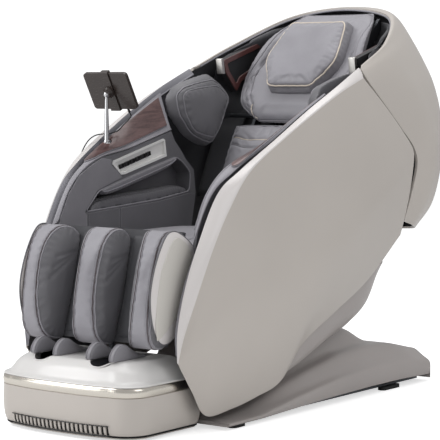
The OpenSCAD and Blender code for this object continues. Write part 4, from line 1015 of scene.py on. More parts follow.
def base_height(x, y):
    t = lookup(y, TOP_Z)
    return t + (NECK_Z - t) * ramp((NECK_HALF + 38 - x) / 50) * ramp((y + 125) / 60) * ramp((450 - y) / 130)


def base_section(y, d):
    b, f = BASE_HALF - d, FOOT_H + 1
    g = f - (2 if d > 0 else 0)
    yy = min(max(y, BASE_FRONT + d), BASE_BACK - d)
    x1, x2, x3 = NECK_HALF + 36 - d, NECK_HALF + 12 - d, NECK_HALF - 12 - d
    h = [(b - 4, g), (b, lookup(y, LOW_Z)), (b - 30, lookup(y, MID_Z)), (b - 60, lookup(y, TOP_Z)),
         (x1, base_height(x1, y)), (x2, base_height(x2, y)), (x3, base_height(x3, y)),
         (NECK_HALF / 2, base_height(0, y)), (0, base_height(0, y))]
    return [[h[k][0], yy, g if k == 0 else max(f - 1, h[k][1] - d)] for k in range(9)]


def make_base_cover():
    """Low wide foot cover that rises to a neck under the seat."""
    ys = np.concatenate([[BASE_FRONT], np.linspace(BASE_FRONT + 9, BASE_BACK - 9, 90), [BASE_BACK]])

    def section(y, d):
        half = base_section(y, d)
        fine = [half[0]]
        for a, b in zip(half[:-1], half[1:]):
            for t in (0.25, 0.5, 0.75, 1.0):
                fine.append([a[k] + (b[k] - a[k]) * t for k in range(3)])
        return [[-p[0], p[1], p[2]] for p in fine] + fine[-2::-1]

    outer = np.array([section(y, 0) for y in ys])[:, 1:-1]
    outer = smooth_rows(smooth_rows(outer, 3, 0), 2, 1)
    inner = np.array([section(y, BASE_T) for y in ys])[:, 1:-1]
    verts, faces = shell_between(outer, inner)
    count = len(outer[0])
    verts = [list(p) for p in verts]
    for end, y, depth in ((0, BASE_FRONT, END_T), (len(ys) - 1, BASE_BACK, -END_T)):
        for shift in (0, depth):
            start = len(verts)
            verts += [[p[0], y + shift, p[2]] for p in outer[end]]
            verts += [[p[0], y + shift, FOOT_H + 1] for p in outer[end]]
            faces += [[start + k, start + k + 1, start + count + k + 1, start + count + k]
                      for k in range(count - 1)]
    obj = new_object("base_hull", verts, faces, SHELL_LOW, "base")
    finish_shell(obj, "base_cover", 0.002, 2, 45)


# ---- Arm outlines and boards ---------------------------------------------
CHANNEL_FACE = [[-372, 568], [-222, 576], [-28, 588], [118, 606], [124, 664], [82, 700], [50, 714],
                [-49, 692], [-200, 655], [-312, 626]]
TOP_INNER = [[ARM_X + 3, -490, 545], [ARM_X + 3, -444, 630], [ARM_X + 3, -380, 690], [ARM_X + 3, -298, 726],
             [ARM_X + 3, -180, 746], [ARM_X + 3, -60, 776], [ARM_X + 3, 30, 799]]
TOP_S = [[0.345, 0, 0], [0.43, 0, 0], [0.51, 0, 0], [0.6, 0, 0], [0.7, 0, 0], [0.78, 0, 0], [0.86, 0, 0]]


def corner_round(points, radius, steps=5):
    """Outline with each corner turned into a short arc."""
    p = [np.asarray(q, float) for q in points]
    out = []
    for i, b in enumerate(p):
        a, c = p[i - 1], p[(i + 1) % len(p)]
        ra = min(radius, np.linalg.norm(a - b) * 0.45)
        rc = min(radius, np.linalg.norm(c - b) * 0.45)
        s = b + (a - b) / np.linalg.norm(a - b) * ra
        e = b + (c - b) / np.linalg.norm(c - b) * rc
        for k in range(steps + 1):
            t = k / steps
            out.append((1 - t) ** 2 * s + 2 * t * (1 - t) * b + t * t * e)
    return out


def plate_yz(name, outlines, x0, x1, material, body, round_over):
    """Flat board in the Y-Z plane between two X values, with holes and rounded edges."""
    data = bpy.data.curves.new(name, "CURVE")
    data.dimensions = "2D"
    data.fill_mode = "BOTH"
    thick = abs(x1 - x0)
    data.extrude = (thick / 2 - round_over) * MM
    data.bevel_depth = round_over * MM
    data.bevel_resolution = 2
    data.offset = -round_over * MM
    for outline in outlines:
        spline = data.splines.new("POLY")
        spline.points.add(len(outline) - 1)
        for k, p in enumerate(outline):
            spline.points[k].co = (p[0] * MM, p[1] * MM, 0, 1)
        spline.use_cyclic_u = True
    helper = place_object(name + "_curve", data)
    graph = bpy.context.evaluated_depsgraph_get()
    mesh = bpy.data.meshes.new_from_object(helper.evaluated_get(graph))
    bpy.data.objects.remove(helper)
    mesh.transform(Matrix(((0, 0, 1, (x0 + x1) / 2 * MM), (1, 0, 0, 0), (0, 1, 0, 0), (0, 0, 0, 1))))
    mesh.materials.clear()
    mesh.materials.append(material)
    obj = place_object(name, mesh)
    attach(obj, body)
    return obj


# ---- Tablet cables -------------------------------------------------------
def tablet_point(x, y, z):
    c, s = math.cos(TAB_LEAN), math.sin(TAB_LEAN)
    return BALL + np.array([x, y * c - z * s, y * s + z * c])


TAB_H, TAB_T = 120, 11
PLUG_END = tablet_point(42, 17.3 + TAB_T / 2, -TAB_H / 2 - 14)
CABLE_EXIT = PLUG_END + 0.5 * np.array([0, math.sin(TAB_LEAN), -math.cos(TAB_LEAN)])
CABLE_UP = [CABLE_EXIT, PLUG_END + np.array([-1, 7, -14]), [-268, -175, 815], [-274, -190, 800],
            [-284, -212, 792], [-290, -222, 790]]
CABLE_LOW = [[-290.6, -222.5, 790], [-300, -230, 790], [-318, -246, 785], [-332, -262, 768],
             [-340, -280, 735], [-345, -286, 700]]
CABLE_POINTS, CABLE_FREE = 33, (1, 24)


def make_cable(name, node, points):
    """Slack length of cable between two bodies, laid through its points."""
    path = line(points, CABLE_POINTS)
    cable = bead(name, path, CABLE_D / 2, BLACK, None, sides=12)
    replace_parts(cable, node)
    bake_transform(cable)


make_cable("tablet_cable_upper", "cable_upper", CABLE_UP)
make_cable("tablet_cable_lower", "cable_lower", CABLE_LOW)

make_side_shell()
make_rear_shell()
make_under_shell()
make_base_cover()


# ---- Arm tops, wood and the opening for the arm -------------------------
def cut_away(obj, *cutters):
    """Takes the volume of the cutters out of a piece."""
    for tool in cutters:
        boolean = obj.modifiers.new("cut", "BOOLEAN")
        boolean.operation = "DIFFERENCE"
        boolean.solver = "EXACT"
        boolean.object = tool
    apply_modifiers(obj)
    for tool in cutters:
        bpy.data.objects.remove(tool)
    obj.data.set_sharp_from_angle(angle=math.radians(35))
    return obj


def blocks(corners):
    """Plain boxes between pairs of corners, used as one cutter."""
    box = [[0, 1, 3, 2], [4, 6, 7, 5], [0, 4, 5, 1], [2, 3, 7, 6], [0, 2, 6, 4], [1, 5, 7, 3]]
    verts, faces = [], []
    for ends in corners:
        faces += [[len(verts) + q for q in f] for f in box]
        verts += [[ends[i][0], ends[j][1], ends[k][2]] for i in (0, 1) for j in (0, 1) for k in (0, 1)]
    return cutter(verts, faces)


def prism(outlines, z0, z1):
    """Upright prisms over outlines in X and Y."""
    verts, faces = [], []
    for outline in outlines:
        s, n = len(verts), len(outline)
        verts += [[p[0], p[1], z0] for p in outline] + [[p[0], p[1], z1] for p in outline]
        faces += [[s + k, s + (k + 1) % n, s + n + (k + 1) % n, s + n + k] for k in range(n)]
        faces += [[s + k for k in range(n)][::-1], [s + n + k for k in range(n)]]
    return verts, faces


def collar_hole(obj):
    """Opens a hide or veneer piece round the collar of the tablet stand."""
    turns = np.linspace(0, 2 * math.pi, 17)[:-1]
    x, y = BALL[:2]
    loop = ring([[x + COLLAR_HOLE * math.cos(a), y + COLLAR_HOLE * math.sin(a)] for a in turns], 48)
    return cut_away(obj, cutter(*prism([loop], 640, 860)))


HIDE_T = 6
WOOD_FROM, WOOD_RUN, WOOD_MIDDLE, WOOD_SHARE = 0.42, 0.55, 0.515, 0.78


def arched(a, b, t):
    """Point at t = 0..4 on the bowed line across an arm."""
    return a + (b - a) * t / 4 + np.array([1.6 * t * (4 - t) / 2, 0, 1.2 * t * (4 - t)])


def arm_strip(u, steps):
    """Points across the arm top at u = 0..1, from the lining's edge to the rim."""
    a = curve(TOP_INNER, u)
    b = curve(RIM_LINE, curve(TOP_S, u)[0]) + np.array([-RIM_W + 1, 4, -2])
    return a, b, [arched(a, b, t) for t in np.linspace(0, 4, steps + 1)]


def make_arm_top():
    rows = np.array([arm_strip(i / 56, 14)[2] for i in range(57)])
    obj = sheet("arm_top_hide_left", rows, rows + grid_normals(rows) * HIDE_T, HIDE, "pod")
    finish_shell(obj, "arm_top_left", 0.002, 3)
    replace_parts(collar_hole(mirror_copy(obj, "arm_top_hide_right", "pod")), "arm_top_right")
    grid = []
    for i in range(49):
        k = i / 48
        a, b, _ = arm_strip(WOOD_FROM + WOOD_RUN * k, 4)
        w = max(0.16, math.sqrt(1 - (1 - min(1.0, k / 0.11)) ** 2))
        spread_out = WOOD_SHARE * w * (np.linspace(0, 3, 13) / 3 - 0.5)
        grid.append([arched(a, b, 4 * (WOOD_MIDDLE + d)) for d in spread_out])
    grid = np.array(grid)
    n = grid_normals(grid)
    wood = sheet("wood_panel_left", grid - n * 5.6, grid - n * 0.8, WOOD, "pod")
    finish_shell(wood, "wood_inlay_left", 0.0016, 3)
    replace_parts(collar_hole(mirror_copy(wood, "wood_panel_right", "pod")), "wood_inlay_right")
    top = grid - n * 2.0
    border = np.concatenate([top[:, 0], top[-1, 1:], top[::-1, -1][1:], top[0, ::-1][1:-1]])
    inner_edge = rows[:, 0] + np.array([0, 0, 0.6])
    for side, tag in SIDES:
        flip = np.array([side, 1, 1])
        bead("wood_edge_" + tag, border * flip, 2.2, CORD_GREY, "pod", closed=True)
        bead("arm_piping_" + tag, inner_edge * flip, 2.4, CORD_GREY, "pod")


THREAD_RUNS = ((-369, 432, 560), (-358, 432, 562), (-223, 432, 571), (-212, 432, 571))
ARM_PANELS = {
    "front": [[-494, 500], [-474, 446], [-452, 430], [-366, 430], [-366, 560], [-378, 566],
              [-320, 628], [-206, 662], [-217, 676], [-258, 700], [-254, 716], [-298, 722],
              [-345, 703], [-398, 676], [-444, 626], [-482, 556]],
    "middle": [[-361, 430], [-220, 430], [-220, 572], [-361, 563]],
    "rear": [[-215, 430], [84, 430], [122, 470], [146, 598], [118, 600], [-28, 582], [-215, 571]],
}


def make_arm_panels():
    """Leather panels sewn side by side on the inner face of the arm."""
    for part, outline in ARM_PANELS.items():
        # Front panel in the shaded hide, the others in the dark hide: painted shade, deeper towards the
        # rear of the arm.
        hide = HIDE_SHADED if part == "front" else HIDE_DARK
        obj = plate_yz("arm_panel_%s_left" % part, [corner_round(outline, 7)], ARM_X - 1.2, ARM_X + 1.4,
                       hide, "pod", 1.5)
        mirror_copy(obj, "arm_panel_%s_right" % part, "pod")
    for side, tag in SIDES:
        for y, low, high in THREAD_RUNS:
            x = side * (ARM_X - 1.3)
            stitches("arm_thread_%s_%d" % (tag, -y), [[x, y, low], [x, y, high]], "pod")
        loop = corner_round(CHANNEL_FACE, 16)
        path = [[side * (ARM_X + 1.0), p[0], p[1]] for p in loop]
        bead("arm_opening_piping_" + tag, path, 2.4, CORD_GREY, "pod", closed=True)


AIRBAG_OUT = 299
AIRBAG_ROWS = {
    "lower": ([[-345, 569.6], [-222, 576.6], [-28, 588.6], [112, 606]], -1, 24, 3),
    "upper": ([[-305, 627.2], [-200, 654.4], [-49, 691.4], [50, 713.2]], 1, 22, -6),
}


def make_airbags():
    """Two folded air cushions in each arm opening."""
    for tag, (line_yz, side, crown, start) in AIRBAG_ROWS.items():
        xs = np.linspace(ARM_X + start, AIRBAG_OUT, 4)
        rows = [[[x, y, z] for x in xs] for y, z in line_yz]
        pad = Pad(rows, 8, crown, side)
        hide = HIDE_FOLD if tag == "lower" else HIDE_SHADED
        obj = pad_piece("airbag_%s_left" % tag, pad, hide, "pod", voxel=4.0, cap=4.0, rounds=3)
        folds = [land(obj, *pad.seam([(0.03, v), (0.3, v + 0.02), (0.6, v - 0.02), (0.97, v)]))[0]
                 for v in (0.24, 0.5, 0.76)]
        groove(obj, folds, 2.6, 3.0)
        pucker(obj, folds, 11.0, 1.1, 9.0)
        twin = mirror_copy(obj, "airbag_%s_right" % tag, "pod")
        if tag == "lower":
            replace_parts(obj, "arm_airbags_left")
            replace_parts(twin, "arm_airbags_right")
        else:
            path, normals = land(obj, *pad.seam([(u, 0.03) for u in (0.02, 0.35, 0.7, 0.98)], 80))
            for flip, name in SIDES:
                bead("airbag_rib_" + name, (path + normals * 0.8) * np.array([flip, 1, 1]), 1.6, EDGE_GREY,
                     "pod")


make_arm_top()
make_arm_panels()
make_airbags()


# ---- Leg rest ------------------------------------------------------------
CALF_D, CALF_L = 123, 312
CALF_SHARES = [[0, -0.03], [-0.33, -0.045], [-0.62, 0.035], [-0.85, 0.21], [-0.965, 0.4], [-1, 0.6],
               [-0.93, 0.77], [-0.76, 0.895], [-0.52, 0.965], [-0.24, 0.98], [0, 0.93]]
CALF_FRONT = [[p[0] * CALF_D - 0.3, p[1] * CALF_L] for p in CALF_SHARES]
CALF_CENTRE = np.array([-0.3, CALF_L * 0.46])


def closed_outline(front, count=72, back=20):
    """A smooth curve closed by a straight back."""
    f = line(front, count)
    b = np.array([f[-1] + (f[0] - f[-1]) * k / back for k in range(1, back)])
    return np.concatenate([f, b])


def stack_solid(outline, centre, x0, x1, edge, bulge):
    """Closed solid whose outline in Y and Z shrinks towards its two side faces."""
    outline = np.asarray(outline, float)
    size = np.mean(np.linalg.norm(outline - centre, axis=1))
    ends = [(0.8 * edge * t, edge * (1 - math.sqrt(1 - (1 - t) ** 2))) for t in np.linspace(0, 1, 7)]
    rows = [(x0 + d, inset) for d, inset in ends]
    rows += [(x0 + (x1 - x0) * t, 0) for t in (0.25, 0.4, 0.5, 0.6, 0.75)]
    rows += [(x1 - d, inset) for d, inset in ends[::-1]]
    verts = [[x, *(centre + (q - centre) * (1 - inset / size))] for x, inset in rows for q in outline]
    m, n = len(rows), len(outline)
    faces = skin_faces(m, n, wrap=True)
    for first, x, sign in ((0, x0, -1), ((m - 1) * n, x1, 1)):
        last = first
        for t in (0.8, 0.55, 0.3):
            start = len(verts)
            for k in range(n):
                q = np.array(verts[first + k][1:])
                verts.append([x + sign * bulge * (1 - t * t), *(centre + (q - centre) * t)])
            faces += [[last + k, last + (k + 1) % n, start + (k + 1) % n, start + k] for k in range(n)]
            last = start
        verts.append([x + sign * bulge, centre[0], centre[1]])
        faces += [[last + k, last + (k + 1) % n, len(verts) - 1] for k in range(n)]
    return np.array(verts), faces


def outline_run(front, centre, x, count, start=0.03, end=0.97):
    """Points along a slab's front outline at one X, with directions away from its middle."""
    points, directions = [], []
    for u in np.linspace(start, end, count):
        q = np.array(curve(front, u))
        d = (q - centre) / max(1e-9, np.linalg.norm(q - centre))
        points.append([x, q[0], q[1]])
        directions.append([0, d[0], d[1]])
    return points, directions


def on_leg(points):
    return [leg_point(*p) for p in points]


def on_leg_way(directions):
    origin = leg_point(0, 0, 0)
    return [leg_point(*d) - origin for d in directions]


SIDE_NARROW, CENTRE_NARROW = 0.43, 0.3


def wedge(points, hold):
    """Narrows a column towards its front; hold is the X that stays in place."""
    out = []
    for x, y, z in points:
        near = min(1.0, max(0.0, -y / CALF_D))
        narrow = 1 - (SIDE_NARROW if hold else CENTRE_NARROW) * near**1.2
        out.append([hold + (x - hold) * narrow, y * (1 - 0.16 * near), z])
    return out


CALF_SEAMS = (0, 11)


def make_calf_column(name, x0, x1, node, hold):
    """Soft column of the leg rest: a lighter front band between pipings, and sides in the dark hide as
    painted shade.
    """
    outline = closed_outline(CALF_FRONT)
    verts, faces = stack_solid(outline, CALF_CENTRE, x0, x1, 13, 5.0)
    seat = np.array([[leg_point(x, -0.3, z) for z in np.linspace(-8, 288, 40)]
                     for x in np.linspace(x0, x1, 18)])
    obj = stuffed(name, np.array(on_leg(wedge(verts, hold))), faces, seat, 4.6, 5.0, 4.0, 5)
    finish_pad(obj, HIDE, "legrest", [node])
    seams = []
    for side in (-1, 1):
        x = (x1 if side > 0 else x0) - side * 6
        for shift in CALF_SEAMS:
            starts, ways = outline_run(CALF_FRONT, CALF_CENTRE, x - side * shift, 90)
            starts = on_leg(wedge(starts, hold))
            ways = on_leg_way(ways)
            seams.append((side, shift, starts, ways, land(obj, starts, ways)[0]))
    groove(obj, [c[4] for c in seams if c[1]], 1.8, 2.2)
    groove(obj, [c[4] for c in seams if not c[1]], 2.6, 2.8)
    pulls = []
    for side in (-1, 1):
        face = x1 if side > 0 else x0
        for drop in (0.48, 0.58, 0.68):
            start = np.array([face, -10, CALF_L * 0.76])
            end = np.array([face, -82 + 60 * (drop - 0.48), CALF_L * drop])
            pts = [start + (end - start) * t for t in np.linspace(0, 1, 16)]
            pulls.append(land(obj, on_leg(wedge(pts, hold)), on_leg_way([[side, 0, 0]] * 16))[0])
    groove(obj, pulls, 1.8, 7.0)
    pucker(obj, [c[4] for c in seams if not c[1]], 21.0, 0.9, 15.0)
    light_edges = {}
    for k, (side, shift, starts, ways, _) in enumerate(seams):
        path, normals = land(obj, starts, ways)
        if not shift:
            bead("%s_piping_%d" % (name, k), path + normals * 1.2, 2.4, CORD_GREY, "legrest", up=normals)
            light_edges[side] = point_tree(path)
            continue
        bead("%s_seam_%d" % (name, k), path + normals * 0.9, 1.7, CORD_GREY, "legrest", up=normals)
        middle = path + EX * side * 4.2
        bead("%s_shade_%d" % (name, k), middle + normals * 0.5, 1.0, SEAM_BROWN, "legrest", up=normals)
        stitches("%s_thread_%d" % (name, k), path - EX * side * 3.4 + normals * 0.9, "legrest")
    # Faces beyond the front band's pipings take the dark hide: painted shade on the column sides.
    obj.data.materials.append(HIDE_DARK)
    slots = np.zeros(len(obj.data.polygons), int)
    for face in obj.data.polygons:
        c = face.center / MM
        if any(side * (c.x - tree.find(c)[0].x) > 0 for side, tree in light_edges.items()):
            slots[face.index] = 1
    set_slots(obj, slots)


CAP_RIM = [[-562, 545], [-601, 527], [-643, 452], [-662, 372], [-648, 292], [-614, 250], [-568, 258],
           [-507, 308], [-470, 372], [-456, 420], [-456, 458], [-474, 492], [-512, 524]]
CAP_FACE = [[-561, 529], [-589, 508], [-605, 480], [-624, 446], [-636, 402], [-645, 352], [-647, 304],
            [-643, 272], [-637, 262], [-600, 285], [-543, 331], [-505, 380], [-492, 420], [-492, 463],
            [-507, 500], [-534, 522]]
CAP_STEPS = ((1, 0), (1, 4.0), (0.985, 5.0), (0.93, 7.2), (0.88, 8.5), (0.84, 9.0), (0.7, 9.2), (0.4, 9.3),
             (0.03, 9.4))


def make_calf_caps():
    """Hard outer cover of the leg rest: a pale bevel round a darker faceted face."""
    rim = ring(CAP_RIM, 132)
    centre = np.mean(CAP_RIM, axis=0)
    x0 = CALF_HALF + 0.4
    grid = np.array([[[x0 + x, *(centre + (q - centre) * t)] for q in rim] for t, x in CAP_STEPS])
    m, n = grid.shape[:2]
    verts = grid.reshape(-1, 3)
    faces = skin_faces(m, n, wrap=True) + [list(range(n))[::-1], [(m - 1) * n + k for k in range(n)]]
    cap = new_object("calf_cap_rim_left", verts, faces, RIM, "legrest")
    finish_shell(cap, "calf_cap_left", 0.001, 2, 35)
    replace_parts(mirror_copy(cap, "calf_cap_rim_right", "legrest"), "calf_cap_right")
    face = plate_yz("calf_cap_face_left", [ring(CAP_FACE, 140)], x0 + 6.4, x0 + 10.4, CAP_GREY, "legrest",
                    1.6)
    mirror_copy(face, "calf_cap_face_right", "legrest")
    edge = ring(CAP_RIM, 160)
    for side, tag in SIDES:
        path = [[side * (x0 + 1.2), *(centre + (q - centre) * 1.012)] for q in edge]
        bead("cap_gasket_" + tag, path, 2.2, HIDE_DARK, "legrest", closed=True)


def make_leg_rest():
    make_calf_column("calf_column_left", CALF_MID + CALF_GAP, CALF_HALF, "calf_pad_left", CALF_HALF)
    make_calf_column("calf_column_centre", -CALF_MID, CALF_MID, "calf_pad_centre", 0)
    make_calf_column("calf_column_right", -CALF_HALF, -CALF_MID - CALF_GAP, "calf_pad_right", -CALF_HALF)
    make_calf_caps()
    for side, tag in SIDES:
        middle = side * (CALF_MID + CALF_GAP / 2)
        rows = []
        for z in (6, 80, 160, 240, 296):
            rows.append([leg_point(middle + dx, -0.3, z) for dx in (-30, -15, 0, 15, 30)])
        pad = Pad(rows, 2.5, 4.0, -1)
        low, high = pad.solid(24, 20)
        # Channel liners in the dark liner cloth: painted shade in the channels between the columns.
        liner = stuffed("calf_hollow_" + tag, *shell_between(high, low), low, 3.6, 2.0, 2.0, 2)
        finish_pad(liner, LINER, "legrest", ())


make_leg_rest()


# ---- Foot box ------------------------------------------------------------
FOOT_T = 5
GRILLE_HALF, GRILLE_PITCH = 176, 15
ROLLER_Y = (-660, -585)
FOOT_PAD_R = 22
REAR_OPENING = ((-230, FOOT_REAR - 40, 98), (230, FOOT_REAR + 40, 174))
DECK_PROFILE = [[3.2, 144.3], [0.5, 146.5], [3, 150], [14, 157], [30, 183], [48, 198], [58, 203], [66, 204]]


def foot_half_plan(d):
    w, f, r, c = FOOT_HALF - d, FOOT_FRONT + d, FOOT_REAR - d, 74
    arc = [[w - 18 + 18 * math.cos(math.radians(90 - 15 * k)),
            r - 18 + 18 * math.sin(math.radians(90 - 15 * k))]
           for k in range(7)]
    side = [[w, y] for y in np.linspace(r - 60, f + 14 + c + 40, 12)]
    turn = [[w - c + c * math.cos(math.radians(-5 * k)), f + 14 + c - c * math.sin(math.radians(5 * k))]
            for k in range(19)]
    front = [[(w - c) * t, f + 14 - 16 * (1 - t**2.6)] for t in np.linspace(0.92, 0, 14)]
    return [[0, r]] + [[x, r] for x in np.linspace(30, w - 30, 8)] + arc + side + turn + front


def foot_loop(d, z, count=220):
    """Evenly spaced points round the foot box at an inset and a height."""
    half = foot_half_plan(d)
    loop = np.array(half + [[-p[0], p[1]] for p in half[-2:0:-1]])
    loop = np.concatenate([loop, loop[:1]])
    step = np.concatenate([[0], np.cumsum(np.linalg.norm(np.diff(loop, axis=0), axis=1))])
    at = np.linspace(0, step[-1], count, endpoint=False)
    pts = np.array([[np.interp(a, step, loop[:, 0]), np.interp(a, step, loop[:, 1])] for a in at])
    for _ in range(2):
        pts = (np.roll(pts, 1, axis=0) + 2 * pts + np.roll(pts, -1, axis=0)) / 4
    return np.array([[p[0], p[1], z] for p in pts])


def ring_wall(profile, thick):
    """Closed wall that follows the foot box, from a profile of (inset, height)."""
    outer = np.array([foot_loop(d, z) for d, z in profile])
    inner = np.array([foot_loop(d + thick, z) for d, z in profile])
    m, n = outer.shape[:2]
    s = m * n
    verts = np.concatenate([outer.reshape(-1, 3), inner.reshape(-1, 3)])
    faces = skin_faces(m, n, wrap=True) + skin_faces(m, n, s, True, True)
    for row in (0, m - 1):
        for j in range(n):
            k = (j + 1) % n
            faces.append([row * n + j, row * n + k, s + row * n + k, s + row * n + j])
    return verts, faces


WELL_FACE = [[WELL_X - WELL_HALF, -540], [WELL_X - WELL_HALF, -690], [WELL_X - WELL_HALF + 12, -716],
             [WELL_X - 14, -730], [WELL_X + 14, -730], [WELL_X + WELL_HALF - 12, -716],
             [WELL_X + WELL_HALF, -690], [WELL_X + WELL_HALF, -540], [WELL_X + WELL_HALF - 14, -522],
             [WELL_X - WELL_HALF + 14, -522]]


def well_outlines(grow):
    well = corner_round(WELL_FACE, 14, 4)
    middle = np.mean(well, axis=0)
    grown = []
    for q in well:
        d = q - middle
        grown.append(middle + d * (1 + grow / np.linalg.norm(d)))
    return [grown, [np.array([-q[0], q[1]]) for q in grown[::-1]]]


def make_foot_wall():
    """Curved wall of the foot box, with a slotted grille at the front."""
    wall = ring_wall([(p[0], p[1]) for p in line([[10, 8], [2, 30], [-1, 70], [0, 117.7]], 26)], FOOT_T)
    shell = new_object("foot_wall", *wall, SHELL, "footrest")
    slots = [((x - 4, FOOT_FRONT - 30, 18), (x + 4, FOOT_FRONT + 40, 40))
             for x in range(-11 * GRILLE_PITCH, 12 * GRILLE_PITCH, GRILLE_PITCH)]
    cut_away(shell, blocks(slots))
    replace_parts(shell, "foot_shell")
    # Near-black wall just inside the slots: painted shade seen through the grille.
    dark = ring_wall([(6.2, 12), (5.2, 30), (4.6, 46)], 1.0)
    new_object("foot_grille_back", *dark, DARK_SLOT, "footrest")
    band = foot_loop(1.0, 17)
    front = band[(band[:, 1] < FOOT_FRONT + 40) & (np.abs(band[:, 0]) < GRILLE_HALF)]
    front = front[np.argsort(front[:, 0])]
    for tag, z in (("low", 15.5), ("high", 42.5)):
        path = [[p[0], p[1] + (1.0 if tag == "low" else -4.0), z] for p in front]
        bead("foot_grille_edge_" + tag, path, 1.6, BLACK, "footrest")


def make_foot_floor():
    verts, faces = prism([[[p[0], p[1]] for p in foot_loop(12.5, 0)]], 9, 14)
    floor = new_object("foot_floor", verts, faces, DARK_SLOT, "footrest")
    windows = [((x * WELL_X - 30, y, 0), (x * WELL_X + 30, y + 24, 30))
               for x in (-1, 1) for y in (-690, -580)]
    cut_away(floor, blocks(windows))
    for i, (x, y) in enumerate([(-120, -700), (120, -700), (-120, -500), (120, -500)]):
        turns = np.linspace(0, 2 * math.pi, 48, endpoint=False)
        disc = [[x + FOOT_PAD_R * math.cos(a), y + FOOT_PAD_R * math.sin(a)] for a in turns]
        foot = new_object("foot_pad_%d" % i, *prism([disc], 1, 9), RUBBER, "footrest")
        soften_edges(foot, 0.0015, 2)


def make_foot_trim():
    """Pale metal band round the foot box, open at the back, over a dark gap."""
    trim = ring_wall([(1.6, TRIM_Z), (0.3, TRIM_Z + 2), (-0.8, TRIM_Z + 7), (-1.3, TRIM_Z + TRIM_H / 2),
                      (-0.9, TRIM_Z + TRIM_H - 7), (0.2, TRIM_Z + TRIM_H - 2), (1.8, TRIM_Z + TRIM_H)],
                     FOOT_T + 2)
    band = new_object("foot_band", *trim, CHAMPAGNE, "footrest")
    cut_away(band, blocks([((-FOOT_HALF + 60, FOOT_REAR - 40, TRIM_Z - 1),
                            (FOOT_HALF - 60, FOOT_REAR + 20, TRIM_Z + TRIM_H + 2))]))
    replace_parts(band, "foot_trim")
    shadow_gap = ring_wall([(3.2, TRIM_Z - 2.5), (3.2, TRIM_Z + 1)], 3.0)
    new_object("foot_band_gap", *shadow_gap, DARK_SLOT, "footrest")


def make_foot_deck():
    """Hollow lid of the foot box; gives the height of its top at a point (x, y)."""
    profile = line(DECK_PROFILE, 34)
    outer = np.array([foot_loop(p[0], p[1]) for p in profile])
    hollow = np.array([foot_loop(p[0] + FOOT_T, p[1] - FOOT_T) for p in profile])
    m, n = outer.shape[:2]

    def lidded(grid):
        lids = [list(range(n))[::-1], [(m - 1) * n + k for k in range(n)]]
        return new_object("deck_body", grid.reshape(-1, 3), skin_faces(m, n, wrap=True) + lids, DECK, None)

    deck = lidded(outer)
    hollow[0] = foot_loop(3.2 + FOOT_T, 140)
    inner = lidded(hollow)
    wells = cutter(*prism(well_outlines(0), 30, 300))
    rear = blocks([REAR_OPENING])
    cut_away(deck, inner, wells, rear)
    deck.name = "foot_lid"
    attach(deck, "footrest")
    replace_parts(deck, "foot_deck")
    edge = foot_loop(0, 0, 400)[:, :2]
    insets, heights = profile[:, 0], profile[:, 1]

    def deck_height(q):
        inset = np.min(np.linalg.norm(edge - np.asarray(q)[:2], axis=1))
        return float(np.interp(inset, insets[4:], heights[4:]))

    return deck_height


def make_foot_wells(deck_height):
    """Lips and folded lining of the two foot wells."""
    for tag, outline in zip(("left", "right"), well_outlines(1.0)):
        path = densify([[q[0], q[1], deck_height(q) - 1.3] for q in list(outline) + [outline[0]]], 6)[:-1]
        bead("well_lip_" + tag, path, 1.9, DECK, "footrest", closed=True)
    verts, faces = prism(well_outlines(3.0), 24, DECK_Z)
    verts = [[p[0], p[1], min(p[2], deck_height(p) - 4)] if p[2] > 100 else p for p in verts]
    liner = new_object("well_liners", verts, faces, HIDE_FOLD, "footrest", False)
    room = cutter(*prism(well_outlines(0), 29, 300))
    gaps = blocks([((x * WELL_X - 33, y - 24, 10), (x * WELL_X + 33, y + 24, 40))
                   for x in (-1, 1) for y in ROLLER_Y])
    bars = blocks([((-200, y - 6, 40), (200, y + 6, 52)) for y in ROLLER_Y])
    cut_away(liner, room, gaps, bars)


def make_foot_rods():
    for side, tag in SIDES:
        path = [leg_point(side * 25, 26, z) for z in (-38, 81, 200)]
        rod = bead("foot_rod_" + tag, path, 8, STEEL, "footrest", sides=40)
        rod.data.set_sharp_from_angle(angle=math.radians(40))


TOE_HALF, TOE_SEAT = 11, DECK_Z + 0.3
LEAF = [[-714, 0], [-711, 16], [-698, 33], [-680, 42], [-660, 39], [-638, 25], [-610, 12], [-585, 5],
        [-574, 0]]


def make_toe_pads():
    """Leaf-shaped ankle pads with a piped edge, two to a well."""
    front = [[y, TOE_SEAT + z] for y, z in LEAF]
    centre = np.array([-650, TOE_SEAT])
    for node, sides in (("toe_pad_left", 1), ("toe_pad_right", -1)):
        for k, leaf_x in enumerate((WELL_X - WELL_HALF + 3, WELL_X + WELL_HALF - 3)):
            middle = sides * leaf_x
            verts, faces = stack_solid(closed_outline(front, 60, 16), centre, middle - TOE_HALF,
                                       middle + TOE_HALF, 7, 3.0)
            seat = np.array([[[x, y, TOE_SEAT] for y in np.linspace(-712, -576, 30)]
                             for x in np.linspace(middle - TOE_HALF, middle + TOE_HALF, 7)])
            name = "%s_leaf_%d" % (node, k)
            obj = stuffed(name, verts, faces, seat, 2.8, 3.0, 3.0, 3)
            finish_pad(obj, HIDE_SHADED, "footrest", [node] if k == 0 else ())
            for tag, x_line in (("", middle - 6), ("_far", middle + 6)):
                path, normals = land(obj, *outline_run(front, centre, x_line, 60, 0.02, 0.98))
                if not tag:
                    groove(obj, [path], 1.2, 2.0)
                bead(name + "_piping" + tag, path + normals * 0.5, 1.7, CORD_GREY, "footrest", up=normals)


make_foot_wall()
make_foot_floor()
make_foot_trim()
make_foot_wells(make_foot_deck())
make_foot_rods()
make_toe_pads()


# ---- Seat, back, head and shoulders --------------------------------------
SEAT_Z, SEAT_EDGE, SEAT_CROWN = 442, 52, 14
SEAT_WIDTHS = ((-452, 229), (-320, 230), (-110, 241), (102, 241))
SEAT_FRONT = [[-214, -446, 490], [-110, -453, 493], [0, -455, 494], [110, -453, 493], [214, -446, 490]]


